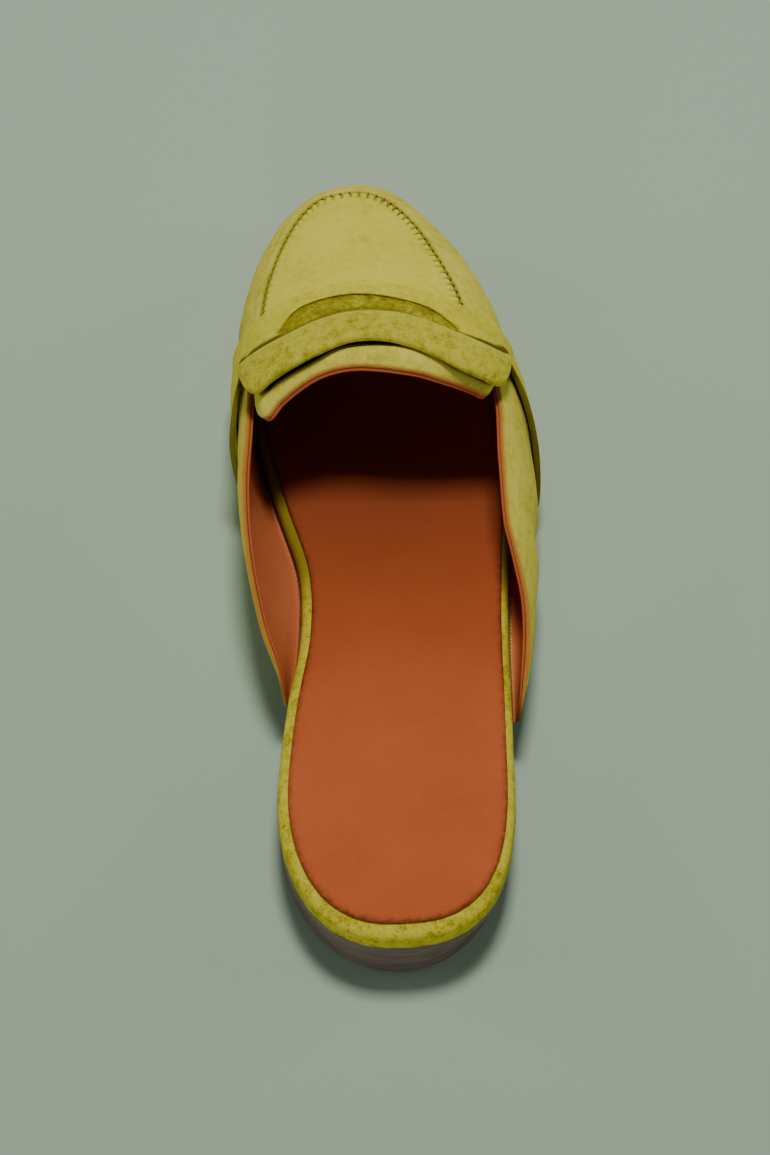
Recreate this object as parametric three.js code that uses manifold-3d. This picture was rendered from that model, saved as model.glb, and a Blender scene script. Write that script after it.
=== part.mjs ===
// A right-foot loafer mule: open heel, low block heel, moccasin vamp, saddle with a raised instep band.
// Millimetres. y runs from the heel, with the toe along +Y, the lateral (outer) side is +X and the floor is
// z = 0, until the last lines move the origin to the bottom centre of the finished shoe.
import * as THREE from 'three';
import { mergeVertices } from 'three/addons/utils/BufferGeometryUtils.js';
import Module from 'manifold-3d';

const wasm = await Module();
wasm.setup();

// ---- Driving dimensions ----
const FRONT = 250; // foremost point of the toe
const HEEL_BACK = -1.2; // rearmost point of the heel, so the shoe is 251 long, about a European 39
const WALL = 2.4; // suede 1.4 with a 1.0 leather lining
const GAP = 0.3; // left between pieces that touch
const SADDLE_THICK = 1.6;
const SADDLE_LIFT = 0.15; // keeps the saddle's flat facets off the upper's
const BAND_THICK = 2.6;
const TONGUE_THICK = 2.0;

const SOLE_THICK = 4; // outsole, heel seat to toe
const HEEL_SEAT = 17; // top of the outsole over the heel
const BALL_SEAT = SOLE_THICK; // top of the outsole at the ball, so its underside lies on the floor
const HEEL_SEAT_END = 58; // the shank starts falling here
const BALL_START = 150; // and is level from here
const SPRING_START = 186; // toe spring begins
const SPRING_RISE = 5.5;

const BOARD_HEEL = 8; // suede-wrapped footbed, rim height at the heel
const BOARD_TOE = 5; // and inside the toe
const SOCK_THICK = 1.5;
const BOARD_FALL = [60, 140]; // between these the rim gets lower
const BOARD_INSET = 0.5; // clear of the upper's wall
const SOCK_INSET = { medial: 3.4, lateral: 2.6, heel: 4.2, toe: 5 };
const LEDGE = [66, 96]; // between these the outsole comes out under the wall
const TOE_EASE = 225; // insets and ledges fade from here to the toe

const LIFT_THICK = 4; // heel top piece
const HEEL_BREAST = 56; // front face of the heel
const TOE = FRONT - WALL - 0.2; // inside of the toe
const FEATHER_TOE = TOE - 4; // where the feather line closes round the toe
const QUARTER_START = 58; // the forms of the last begin here
const THROAT = 176; // front edge of the foot opening, under the saddle

// ---- Tables ----
// Plan half widths of the footbed, which are also the feather line of the last.
const FOOTPRINT = {
  columns: ['y', 'medial', 'lateral'],
  rows: [
    [-5, 33.2, 34.2],
    [20, 33.2, 34.2],
    [45, 32.7, 34.6],
    [70, 29.2, 35.6],
    [95, 24.4, 36.8],
    [120, 24.0, 39.0],
    [145, 29.8, 41.4],
    [170, 35.0, 42.3],
    [195, 35.6, 43.0],
    [255, 35.4, 42.0],
  ],
};
// Cross-sections of the last. crownX and rise place the crown over the sole. Bulge is a side's half width,
// high its height over the sole, tuck the roundness below it and arch the roundness above it.
const LAST = {
  columns: ['y', 'crownX', 'rise', 'arch', 'medialBulge', 'medialHigh', 'medialTuck',
    'lateralBulge', 'lateralHigh', 'lateralTuck'],
  rows: [
    [55, 2, 32, 2.0, 31.2, 8, 2.0, 35, 8, 2.0],
    [75, 2, 34, 2.0, 29.0, 12, 1.6, 38.2, 8, 2.0],
    [95, 2, 38, 2.0, 33.5, 21, 1.4, 41.6, 10, 2.0],
    [115, 1, 44, 2.0, 36.6, 29, 1.4, 43.8, 13, 2.0],
    [135, 1, 52, 2.0, 37.6, 31, 1.5, 45.2, 15, 2.0],
    [155, 0, 58.5, 2.05, 36.9, 27, 1.8, 45.1, 14, 2.1],
    [175, -1, 51, 2.15, 37.2, 20, 2.1, 45.4, 13, 2.2],
    [195, -1, 43, 2.35, 37.8, 14.5, 2.3, 46.9, 12, 2.3],
    [215, -1, 34, 2.6, 38, 12, 2.3, 46.6, 12, 2.3],
    [235, 0, 26, 2.8, 37.6, 11, 2.3, 45, 11, 2.3],
    [255, 0, 20, 3.0, 37.6, 10, 2.3, 45, 10, 2.3],
  ],
};
// How each side closes round the toe: where the taper starts and its exponent.
const TOE_TAPER = { medial: [170, 2.1], lateral: [150, 1.74], crown: [220, 2.45] };
// How each side closes round the heel: where the curve ends and its exponent.
const HEEL_ROUND = { medial: [45, 2.4], lateral: [50, 2.7] };
const BLOCK_ROUND = { medial: [45, 2.2], lateral: [50, 2.2] }; // the heel block's, rounder than the footbed's

// Side view of the foot opening: height of each side's edge over the floor.
const TOPLINE = {
  medial: {
    columns: ['y', 'z'],
    rows: [[73, 8], [76, 23], [80, 29], [89, 32], [99, 35.5], [110, 39], [119, 40.7], [138, 42.4], [150, 43.5],
      [160, 43.6], [168, 42], [THROAT, 40]],
  },
  lateral: {
    columns: ['y', 'z'],
    rows: [[63.5, 8], [66.5, 22], [71, 26.2], [85, 29.3], [96.5, 32.6], [104, 35.8], [111, 38.4], [118, 40.7],
      [142, 45.2], [154, 46.4], [160, 46], [168, 44.2], [THROAT, 42.2]],
  },
};
// Edges of the overlays. s runs over the last from -1 at the medial feather line, past 0 on the crown, to 1 at
// the lateral feather line; rear and front are distances from the heel.
const SADDLE = {
  columns: ['s', 'rear', 'front'],
  rows: [
    [-0.97, 139, 186],
    [-0.85, 142, 186],
    [-0.7, 148, 186.5],
    [-0.6, 155, 187],
    [-0.54, 165, 188],
    [-0.5, 170, 188.5],
    [-0.25, 168, 192.3],
    [0, 168, 195.5],
    [0.25, 168, 190],
    [0.5, 171, 186],
    [0.56, 166, 185.5],
    [0.64, 156, 185],
    [0.75, 146, 184.5],
    [0.85, 140.5, 184.5],
    [0.97, 135, 184.5],
  ],
};
const SLOT = {
  columns: ['s', 'rear', 'front'],
  rows: [[-0.325, 178, 184], [-0.29, 175.5, 185.6], [-0.24, 174.5, 186.8], [-0.12, 173, 188.4], [0, 172, 188.5],
    [0.14, 172.5, 186.1], [0.25, 173.5, 182.9], [0.335, 175.5, 181.3]],
};
const BAND = {
  columns: ['s', 'rear', 'front'],
  rows: [
    [-0.475, 166.5, 170.3],
    [-0.45, 161.5, 170.8],
    [-0.42, 157, 171],
    [-0.385, 155.2, 171],
    [-0.33, 156.4, 171.3],
    [-0.26, 157.8, 172.2],
    [-0.16, 160.2, 174.7],
    [-0.06, 162.8, 176.5],
    [0.03, 163, 176.7],
    [0.12, 161, 175.7],
    [0.2, 158.4, 172.7],
    [0.28, 155.9, 169.7],
    [0.36, 155, 168.4],
    [0.42, 155, 168.6],
    [0.455, 157.6, 169],
    [0.49, 162.8, 169.6],
    [0.515, 167.4, 170.6],
  ],
};
const TONGUE = {
  columns: ['s', 'rear', 'front'],
  rows: [
    [-0.487, 162, 172],
    [-0.475, 155, 173.8],
    [-0.455, 152.3, 174.4],
    [-0.427, 150.8, 174.4],
    [-0.4, 150.9, 174.4],
    [-0.36, 153, 174.4],
    [-0.286, 155.5, 174.4],
    [-0.196, 158.3, 174.4],
    [-0.112, 159.6, 174.4],
    [-0.036, 159.6, 174.4],
    [0.034, 158.7, 174.4],
    [0.102, 157.7, 174.4],
    [0.174, 157, 174.4],
    [0.248, 155.9, 174.4],
    [0.32, 155.2, 174.4],
    [0.38, 154.7, 174.4],
    [0.42, 154.4, 174.4],
    [0.445, 155.8, 173.8],
    [0.456, 160, 172],
  ],
};
// Level outlines of the heel block: how far each side draws in from the footprint, from the floor up.
const HEEL_BLOCK = {
  columns: ['z', 'medialDraw', 'lateralDraw', 'rearDraw'],
  rows: [[0, 0.3, 0.6, 0], [LIFT_THICK, 0.3, 0.6, 0.2], [HEEL_SEAT - SOLE_THICK, 0.3, 0.5, 0.6]],
};

// ---- Colours, roughness ----
const FINISH = {
  suede: [0xb0a64c, 0.95],
  suedeBand: [0xa39941, 0.95],
  leather: [0xab5023, 0.55],
  sole: [0x4a423a, 0.7],
};

// ---- Curves ----
// Smooth curve through a table's rows: a cubic between rows, with each row's slope taken across its neighbours.
function lookup(table, name, at) {
  const column = table.columns.indexOf(name);
  const rows = table.rows;
  const last = rows.length - 1;
  const slope = (i) => {
    const a = rows[Math.max(i - 1, 0)];
    const b = rows[Math.min(i + 1, last)];
    return (b[column] - a[column]) / (b[0] - a[0]);
  };
  let i = 0;
  while (i < last - 1 && at >= rows[i + 1][0]) i += 1;
  const span = rows[i + 1][0] - rows[i][0];
  const t = (at - rows[i][0]) / span;
  return rows[i][column] * (2 * t ** 3 - 3 * t ** 2 + 1) + span * slope(i) * (t ** 3 - 2 * t ** 2 + t)
    + rows[i + 1][column] * (3 * t ** 2 - 2 * t ** 3) + span * slope(i + 1) * (t ** 3 - t ** 2);
}

const smooth = (y, from, to) => THREE.MathUtils.smoothstep(y, from, to);

// Superellipse quarter: 1 at start, 0 at tip.
function closeOff(y, start, tip, exponent) {
  const t = THREE.MathUtils.clamp((y - start) / (tip - start), 0, 1);
  return (1 - t ** exponent) ** (1 / exponent);
}

// Height of the outsole's top: heel seat, shank, level ball, then toe spring.
function soleTop(y) {
  const spring = Math.max(0, (y - SPRING_START) / (FRONT - SPRING_START));
  return HEEL_SEAT - (HEEL_SEAT - BALL_SEAT) * smooth(y, HEEL_SEAT_END, BALL_START) + SPRING_RISE * spring ** 2;
}

// Plan half width of a side, closed round the heel at y = heel and round the toe at y = toe.
function halfWidth(side, y, heel = HEEL_BACK, toe = FEATHER_TOE, round = HEEL_ROUND) {
  const [heelEnd, heelPower] = round[side];
  const [toeStart, toePower] = TOE_TAPER[side];
  return lookup(FOOTPRINT, side, y) * closeOff(heelEnd - y, 0, heelEnd - heel, heelPower)
    * closeOff(y, toeStart, toe, toePower);
}

// ---- The last ----
const ARC_STEPS = 60;
const halfSections = new Map();

// One side of the last at y, as points from the crown to the feather line with their running length: a
// superellipse arch from the crown to the bulge, then a second one tucking under to the feather line.
function halfSection(side, y) {
  const key = `${side}${y.toFixed(5)}`;
  if (halfSections.has(key)) return halfSections.get(key);
  const at = (name) => lookup(LAST, name, y);
  const [start, power] = TOE_TAPER[side];
  const shrink = closeOff(y, start, TOE, power);
  const bottom = soleTop(y);
  const foot = lookup(FOOTPRINT, side, y) * closeOff(y, start, FEATHER_TOE, power);
  const bulge = at(`${side}Bulge`) * shrink;
  const high = at(`${side}High`);
  const crownX = (side === 'medial' ? -1 : 1) * at('crownX') * shrink;
  const crownZ = (at('rise') - high) * closeOff(y, TOE_TAPER.crown[0], TOE, TOE_TAPER.crown[1]);
  const drop = high * closeOff(y, FEATHER_TOE, TOE, 2);
  const arch = 2 / at('arch');
  const tuck = 2 / at(`${side}Tuck`);
  const points = [];
  for (let i = 0; i <= 2 * ARC_STEPS; i += 1) {
    const turn = (Math.min(i, ARC_STEPS) / ARC_STEPS) * (Math.PI / 2);
    const under = (Math.max(i - ARC_STEPS, 0) / ARC_STEPS) * (Math.PI / 2);
    const x = i <= ARC_STEPS
      ? crownX + (bulge - crownX) * Math.sin(turn) ** arch
      : foot + (bulge - foot) * Math.max(Math.cos(under), 0) ** tuck;
    const z = i <= ARC_STEPS ? crownZ * Math.max(Math.cos(turn), 0) ** arch : -drop * Math.sin(under) ** tuck;
    points.push([x, bottom + high + z]);
  }
  const lengths = [0];
  for (let i = 1; i < points.length; i += 1) {
    const [x, z] = points[i];
    const [px, pz] = points[i - 1];
    lengths.push(lengths[i - 1] + Math.hypot(x - px, z - pz));
  }
  const section = { points, lengths };
  halfSections.set(key, section);
  return section;
}

// A point of the last at s, a fraction of a side's girth from the crown, negative on the medial side.
function lastPoint(s, y) {
  const { points, lengths } = halfSection(s < 0 ? 'medial' : 'lateral', y);
  const target = Math.abs(s) * lengths[lengths.length - 1];
  let i = 1;
  while (i < lengths.length - 1 && lengths[i] < target) i += 1;
  const t = (target - lengths[i - 1]) / Math.max(lengths[i] - lengths[i - 1], 1e-9);
  const x = THREE.MathUtils.lerp(points[i - 1][0], points[i][0], t);
  const z = THREE.MathUtils.lerp(points[i - 1][1], points[i][1], t);
  return new THREE.Vector3(s < 0 ? -x : x, y, z);
}

// The same point moved out along the surface's normal.
function surface(s, y, offset) {
  const ds = 0.01;
  const dy = Math.min(0.5, (TOE - y) * 0.4);
  const across = lastPoint(Math.min(s + ds, 1), y).sub(lastPoint(Math.max(s - ds, -1), y));
  const along = lastPoint(s, y + dy).sub(lastPoint(s, y - dy));
  return lastPoint(s, y).addScaledVector(across.cross(along).normalize(), offset);
}

// ---- Solids ----
// Closed skin over a row of rings with the same number of points, its two ends closed by fans.
function loft(rings) {
  const count = rings[0].length;
  const points = rings.flat();
  const middle = (ring) => ring.reduce((sum, p) => sum.add(p), new THREE.Vector3()).divideScalar(count);
  points.push(middle(rings[0]), middle(rings[rings.length - 1]));
  const faces = [];
  for (let j = 0; j < count; j += 1) {
    const k = (j + 1) % count;
    for (let i = 0; i < rings.length - 1; i += 1) {
      const a = i * count;
      const b = a + count;
      faces.push([a + j, a + k, b + k], [a + j, b + k, b + j]);
    }
    const end = (rings.length - 1) * count;
    faces.push([points.length - 2, k, j], [points.length - 1, end + j, end + k]);
  }
  return closedGeometry(points, faces);
}

// Geometry of a closed skin: shared points merged, collapsed faces dropped, faces turned outwards.
function closedGeometry(points, faces) {
  const raw = new THREE.BufferGeometry();
  raw.setAttribute('position', new THREE.Float32BufferAttribute(points.flatMap((p) => p.toArray()), 3));
  raw.setIndex(faces.flat());
  const merged = mergeVertices(raw, 1e-3);
  const index = merged.index.array;
  const position = merged.attributes.position;
  const corner = (i) => new THREE.Vector3().fromBufferAttribute(position, i);
  let volume = 0;
  const kept = [];
  for (let i = 0; i < index.length; i += 3) {
    const [a, b, c] = index.slice(i, i + 3);
    if (a === b || b === c || c === a) continue;
    kept.push([a, b, c]);
    volume += corner(a).dot(corner(b).cross(corner(c)));
  }
  merged.setIndex((volume < 0 ? kept.map((face) => face.reverse()) : kept).flat());
  return merged;
}

function toSolid(geometry) {
  const mesh = new wasm.Mesh({
    numProp: 3,
    vertProperties: new Float32Array(geometry.attributes.position.array),
    triVerts: new Uint32Array(geometry.index.array),
  });
  return new wasm.Manifold(mesh);
}

function toGeometry(solid) {
  const { vertProperties, triVerts } = solid.getMesh();
  const geometry = new THREE.BufferGeometry();
  geometry.setAttribute('position', new THREE.BufferAttribute(vertProperties, 3));
  geometry.setIndex(new THREE.BufferAttribute(triVerts, 1));
  return geometry;
}

// Evenly spaced values, or with power > 1 crowding towards the end.
function spaced(from, to, steps, power = 1) {
  const values = [];
  for (let i = 0; i <= steps; i += 1) values.push(from + (to - from) * (1 - (1 - i / steps) ** power));
  return values;
}

// Values crowding towards both ends, for an outline that closes round there.
function crowded(from, to, steps) {
  return spaced(0, Math.PI, steps).map((turn) => from + ((to - from) * (1 - Math.cos(turn))) / 2);
}

// Solid form of the whole last, grown outwards by offset.
const FORM_SIDES = 34;
const FORM_STATIONS = 40;
const TOE_CAP = 0.05;

function lastForm(offset) {
  const around = spaced(-1, 1, FORM_SIDES);
  const stations = spaced(QUARTER_START, TOE - TOE_CAP, FORM_STATIONS, 1.5);
  return toSolid(loft(stations.map((y) => around.map((s) => surface(s, y, offset)))));
}

// Slab with a level cross-section: plan half widths, bottom and top are functions of y.
function slab(stations, medial, lateral, bottom, top) {
  return loft(stations.map((y) => [
    new THREE.Vector3(-medial(y), y, top(y)),
    new THREE.Vector3(lateral(y), y, top(y)),
    new THREE.Vector3(lateral(y), y, bottom(y)),
    new THREE.Vector3(-medial(y), y, bottom(y)),
  ]));
}

// Overlay on the last: between a table's rear and front edges, from inner to outer millimetres off the last.
// Its cross-section is a loop of [across, through] fractions.
function overlay(table, steps, loop, inner, outer) {
  const rows = table.rows;
  return loft(spaced(rows[0][0], rows[rows.length - 1][0], steps).map((s) => {
    const rear = lookup(table, 'rear', s);
    const front = lookup(table, 'front', s);
    return loop.map(([across, through]) => surface(
      s,
      THREE.MathUtils.lerp(rear, front, across),
      THREE.MathUtils.lerp(inner, outer, through),
    ));
  }));
}

// Square-edged loop with several steps along each face.
function flatLoop(steps) {
  const along = spaced(0, 1, steps);
  return [...along.map((t) => [t, 0]), ...along.map((t) => [1 - t, 1])];
}

// Loop with rounded edges, a superellipse.
function roundLoop(steps, power) {
  const arc = (value) => Math.sign(value) * Math.abs(value) ** (2 / power);
  return spaced(0, 2 * Math.PI, steps).slice(0, -1)
    .map((turn) => [0.5 - 0.5 * arc(Math.cos(turn)), 0.5 - 0.5 * arc(Math.sin(turn))]);
}

// ---- Pieces ----
const group = new THREE.Group();

function addPiece(name, geometry, [color, roughness]) {
  const mesh = new THREE.Mesh(geometry, new THREE.MeshStandardMaterial({ color, roughness, metalness: 0 }));
  mesh.name = name;
  group.add(mesh);
}

// Foot opening seen from the side, as a prism from the middle of the shoe past one side.
function openingPrism(side) {
  const clear = 110; // above and past the whole shoe
  const overlap = 1; // the two sides' prisms overlap on the centre line
  const line = TOPLINE[side];
  const start = line.rows[0][0];
  const shape = new THREE.Shape();
  shape.moveTo(THROAT, clear);
  for (const y of spaced(THROAT, start, 40)) shape.lineTo(y, lookup(line, 'z', y));
  shape.lineTo(start - clear, line.rows[0][1]);
  shape.lineTo(start - clear, clear);
  const prism = new THREE.ExtrudeGeometry(shape, { depth: clear, bevelEnabled: false });
  const turned = new THREE.Matrix4().makeBasis(
    new THREE.Vector3(0, 1, 0),
    new THREE.Vector3(0, 0, 1),
    new THREE.Vector3(1, 0, 0),
  );
  prism.applyMatrix4(turned).translate(side === 'medial' ? overlap - clear : -overlap, 0, 0);
  prism.deleteAttribute('normal');
  prism.deleteAttribute('uv');
  return toSolid(mergeVertices(prism, 1e-3));
}

// Vamp and quarters: the last grown by the wall, less the last, the foot opening and all below the sole's top.
function buildUpper() {
  const clear = 20; // past the forms on every side
  const wide = () => FRONT;
  const below = toSolid(slab(spaced(QUARTER_START - clear, FRONT + clear, 60), wide, wide, () => -clear,
    (y) => soleTop(y) + GAP));
  return toGeometry(lastForm(WALL)
    .subtract(lastForm(0))
    .subtract(openingPrism('medial'))
    .subtract(openingPrism('lateral'))
    .subtract(below));
}

// Saddle over the vamp, with cheeks down to the sole and an open slot in front of the band.
function buildSaddle() {
  const inner = WALL + GAP + SADDLE_LIFT;
  const outer = WALL + GAP + SADDLE_THICK;
  const through = 1; // the slot's cutter runs past both faces
  const skin = toSolid(overlay(SADDLE, 44, flatLoop(6), inner, outer));
  const slot = toSolid(overlay(SLOT, 16, flatLoop(2), inner - through, outer + through));
  return toGeometry(skin.subtract(slot));
}

// Narrowest half width left where a slab's outline closes at heel and toe.
const TIP_WIDTH = 0.5;

// Slab whose sides follow the footprint from heel to toe, moved out by spread(side, y).
function soleSlab(heel, toe, steps, spread, bottom, top) {
  const edge = (side) => (y) => Math.max(halfWidth(side, y, heel, toe) + spread(side, y), TIP_WIDTH);
  return slab(crowded(heel, toe, steps), edge('medial'), edge('lateral'), bottom, top);
}

// Outsole: just inside the footbed's outline round the heel, and out under the upper's wall ahead of it.
function buildOutsole() {
  const draw = 0.4;
  const toe = TOE + 1;
  const ledge = (side, y) => ((WALL + GAP) * smooth(y, ...LEDGE) - draw) * closeOff(y, TOE_EASE, toe, 2);
  return soleSlab(HEEL_BACK + draw, toe, 56, ledge, (y) => soleTop(y) - SOLE_THICK, soleTop);
}

// Top of the footbed board, which the sock lies on.
function boardTop(y) {
  return soleTop(y) + GAP + THREE.MathUtils.lerp(BOARD_HEEL, BOARD_TOE, smooth(y, ...BOARD_FALL));
}

function buildFootbed() {
  return soleSlab(HEEL_BACK, FEATHER_TOE - 2, 48, () => -BOARD_INSET, (y) => soleTop(y) + GAP, boardTop);
}

function buildSock() {
  const toe = FEATHER_TOE - SOCK_INSET.toe;
  const heel = HEEL_BACK + SOCK_INSET.heel;
  const heelEase = 40; // the inset fades from here back to the heel
  const toeEase = 200;
  const inset = (side, y) => -SOCK_INSET[side] * closeOff(y, toeEase, toe, 2)
    * closeOff(heelEase - y, 0, heelEase - heel, 2);
  return soleSlab(heel, toe, 44, inset, (y) => boardTop(y) + GAP, (y) => boardTop(y) + GAP + SOCK_THICK);
}

// Heel block between two heights: level outlines, round at the back and straight at the breast.
function buildHeel(bottom, top) {
  const ease = 40; // the sides' draw fades from here back to the rear
  return loft(spaced(bottom, top, 2).map((z) => {
    const rear = HEEL_BACK + lookup(HEEL_BLOCK, 'rearDraw', z);
    const stations = spaced(HEEL_BREAST, rear, 12, 1.8);
    const point = (side, y) => Math.max(halfWidth(side, y, rear, FEATHER_TOE, BLOCK_ROUND)
      - lookup(HEEL_BLOCK, `${side}Draw`, z) * closeOff(ease - y, 0, ease - rear, 2), 0);
    return [
      ...stations.map((y) => new THREE.Vector3(-point('medial', y), y, z)),
      ...stations.reverse().slice(1).map((y) => new THREE.Vector3(point('lateral', y), y, z)),
    ];
  }));
}

// The overlays lie at these distances off the last, each a gap above the one below.
const BAND_INNER = WALL + SADDLE_THICK + 2 * GAP;
const TONGUE_INNER = 0.1;
const tongueShape = overlay(TONGUE, 36, flatLoop(5), TONGUE_INNER, TONGUE_INNER + TONGUE_THICK);
const bandShape = overlay(BAND, 34, roundLoop(16, 3), BAND_INNER, BAND_INNER + BAND_THICK);
addPiece('upper', buildUpper(), FINISH.suede);
addPiece('saddle', buildSaddle(), FINISH.suede);
addPiece('instep_band', bandShape, FINISH.suedeBand);
addPiece('tongue', tongueShape, FINISH.suede);
addPiece('outsole', buildOutsole(), FINISH.sole);
addPiece('footbed', buildFootbed(), FINISH.suede);
addPiece('sock', buildSock(), FINISH.leather);
addPiece('heel_block', buildHeel(LIFT_THICK + GAP, HEEL_SEAT - SOLE_THICK - GAP), FINISH.sole);
addPiece('heel_top_lift', buildHeel(0, LIFT_THICK), FINISH.sole);

// Origin at the bottom centre of the whole shoe.
const bounds = new THREE.Box3().setFromObject(group);
const centre = bounds.getCenter(new THREE.Vector3());
group.position.set(-centre.x, -centre.y, -bounds.min.z);

export default group;
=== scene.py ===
"""A suede loafer mule for the right foot, with an open heel, a low stacked heel, a hand-sewn apron,
a saddle with a slot, a raised instep band and a leather sock.

Shapes are worked out in millimetres from the back of the heel, with the toe along +Y and the outer
(lateral) side at +X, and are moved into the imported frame, in metres, when a mesh is made."""

import bmesh
import bpy
import numpy as np
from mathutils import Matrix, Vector


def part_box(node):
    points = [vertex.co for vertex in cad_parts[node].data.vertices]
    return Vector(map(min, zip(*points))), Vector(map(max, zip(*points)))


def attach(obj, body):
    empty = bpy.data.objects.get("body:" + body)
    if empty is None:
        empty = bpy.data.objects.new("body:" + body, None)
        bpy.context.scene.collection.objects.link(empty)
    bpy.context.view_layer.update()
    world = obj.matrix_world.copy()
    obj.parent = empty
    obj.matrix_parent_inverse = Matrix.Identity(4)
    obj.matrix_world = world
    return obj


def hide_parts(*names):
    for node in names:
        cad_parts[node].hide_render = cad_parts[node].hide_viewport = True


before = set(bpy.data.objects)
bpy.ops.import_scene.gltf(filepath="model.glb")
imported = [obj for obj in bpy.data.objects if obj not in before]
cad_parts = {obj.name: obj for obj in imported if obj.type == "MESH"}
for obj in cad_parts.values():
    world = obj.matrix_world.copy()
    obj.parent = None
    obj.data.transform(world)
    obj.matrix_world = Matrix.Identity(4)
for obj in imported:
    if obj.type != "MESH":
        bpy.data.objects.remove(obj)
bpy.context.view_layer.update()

bl_info = {
    "name": "Suede loafer mule",
    "version": (1, 0, 0),
    "blender": (4, 5, 0),
    "location": "View3D > Sidebar > Mule",
    "description": "Builds the suede, leather and rubber pieces of a loafer mule around its CAD frame",
    "category": "Add Mesh",
}

MM = 0.001
BODY = "root"

# ---- The last, in millimetres ----
GAP = 0.3  # left between pieces that touch
HEEL_BACK = -1.2  # rearmost point of footbed, outsole and heel
WALL = 2.4  # upper, suede and lining together
TOE = 247.4  # inside of the toe
FEATHER_TOE = TOE - 4  # where the feather line closes round the toe
TOE_CAP = 0.05  # the upper's last section stops this far short of the toe
QUARTER_START = 57.0  # the upper's first section
THROAT = 176.0  # front edge of the foot opening, under the saddle

SOLE_THICK = 4.0
HEEL_SEAT = 17.0  # top of the outsole over the heel
BALL_SEAT = 4.0  # top of the outsole under the ball
HEEL_SEAT_END = 58.0  # between these the shank falls
BALL_START = 150.0
SPRING_START = 186.0  # between these the toe springs up
SPRING_END = 250.0
SPRING_RISE = 5.5
BOARD_HEEL = 8.0  # footbed, rim height at the heel
BOARD_TOE = 5.0  # and towards the toe
BOARD_FALL = (60.0, 140.0)  # between these the rim gets lower
FOOTBED_TOE = FEATHER_TOE - 2
FOOTBED_INSET = GAP + 0.2  # between the footbed and the feather line round the toe
LIFT_THICK = 4.0  # top lift, the lowest piece of the heel
HEEL_BREAST = 56.0  # straight front face of the heel
BAND_REACH = 0.7  # the band's skived front edge reaches this far past its table
# Dark colour painted on the saddle and in the slot round the band. Its reach is fitted to the stage camera's
# place, so from the sides it shows as a dark patch with a sharp edge.
BAND_SHADE_AHEAD = (3.3, 4.3)  # ahead of the band it is full to the first and gone at the second
BAND_SHADE_BESIDE = (4.4, 5.2)  # and past the band's ends
BAND_SHADE_CORNERS = (1.6, 0.9)  # how much further these two go at the band's corners
BAND_SHADE_SLOT = 5.0  # shade line in the slot, ahead of the band
FAR = 99.0  # stands for a distance that doesn't matter
SAME_POINT = 0.002  # points closer than this are merged
LOOK_AT = (1.5, 112.5, 20.0)  # point the camera and the lights aim at

# Plan half widths of the footbed, which are also the feather line.
FOOTPRINT = {
    "y": [-5, 20, 45, 70, 95, 120, 145, 170, 195, 255],
    "medial": [33.2, 33.2, 32.7, 29.2, 24.4, 24.0, 29.8, 35.0, 35.6, 35.4],
    "lateral": [34.2, 34.2, 34.6, 35.6, 36.8, 39.0, 41.4, 42.3, 43.0, 42.0],
}
# Cross-sections: place of the crown, roundness above the bulge (arch) and, for each side, the bulge's half
# width, its height over the sole and the roundness below it (tuck).
LAST = {
    "y": [55, 75, 95, 115, 135, 155, 175, 195, 215, 235, 255],
    "crown_x": [2, 2, 2, 1, 1, 0, -1, -1, -1, 0, 0],
    "rise": [32, 34, 38, 44, 52, 58.5, 51, 43, 34, 26, 20],
    "arch": [2, 2, 2, 2, 2, 2.05, 2.15, 2.35, 2.6, 2.8, 3],
    "medial_bulge": [31.2, 29.0, 33.5, 36.6, 37.6, 36.9, 37.2, 37.8, 38, 37.6, 37.6],
    "medial_high": [8, 12, 21, 29, 31, 27, 20, 14.5, 12, 11, 10],
    "medial_tuck": [2, 1.6, 1.4, 1.4, 1.5, 1.8, 2.1, 2.3, 2.3, 2.3, 2.3],
    "lateral_bulge": [35, 38.2, 41.6, 43.8, 45.2, 45.1, 45.4, 46.9, 46.6, 45, 45],
    "lateral_high": [8, 8, 10, 13, 15, 14, 13, 12, 12, 11, 10],
    "lateral_tuck": [2, 2, 2, 2, 2, 2.1, 2.2, 2.3, 2.3, 2.3, 2.3],
}
# Where each side starts closing round the toe or ends closing round the heel, and the exponent.
TOE_TAPER = {"medial": (170, 2.1), "lateral": (150, 1.74), "crown": (220, 2.45)}
HEEL_ROUND = {"medial": (45, 2.4), "lateral": (50, 2.7)}
HEEL_BLOCK_ROUND = 2.2  # exponent of the heel block, which is rounder than the footbed over it

# Height of the foot opening's edge over the floor.
TOPLINE = {
    "medial": {
        "y": [73, 76, 80, 89, 99, 110, 119, 138, 150, 160, 168, 176],
        "z": [8, 23, 29, 32, 35.5, 39, 40.7, 42.4, 43.5, 43.6, 42, 40],
    },
    "lateral": {
        "y": [63.5, 66.5, 71, 85, 96.5, 104, 111, 118, 142, 154, 160, 168, 176],
        "z": [8, 22, 26.2, 29.3, 32.6, 35.8, 38.4, 40.7, 45.2, 46.4, 46, 44.2, 42.2],
    },
}
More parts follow.
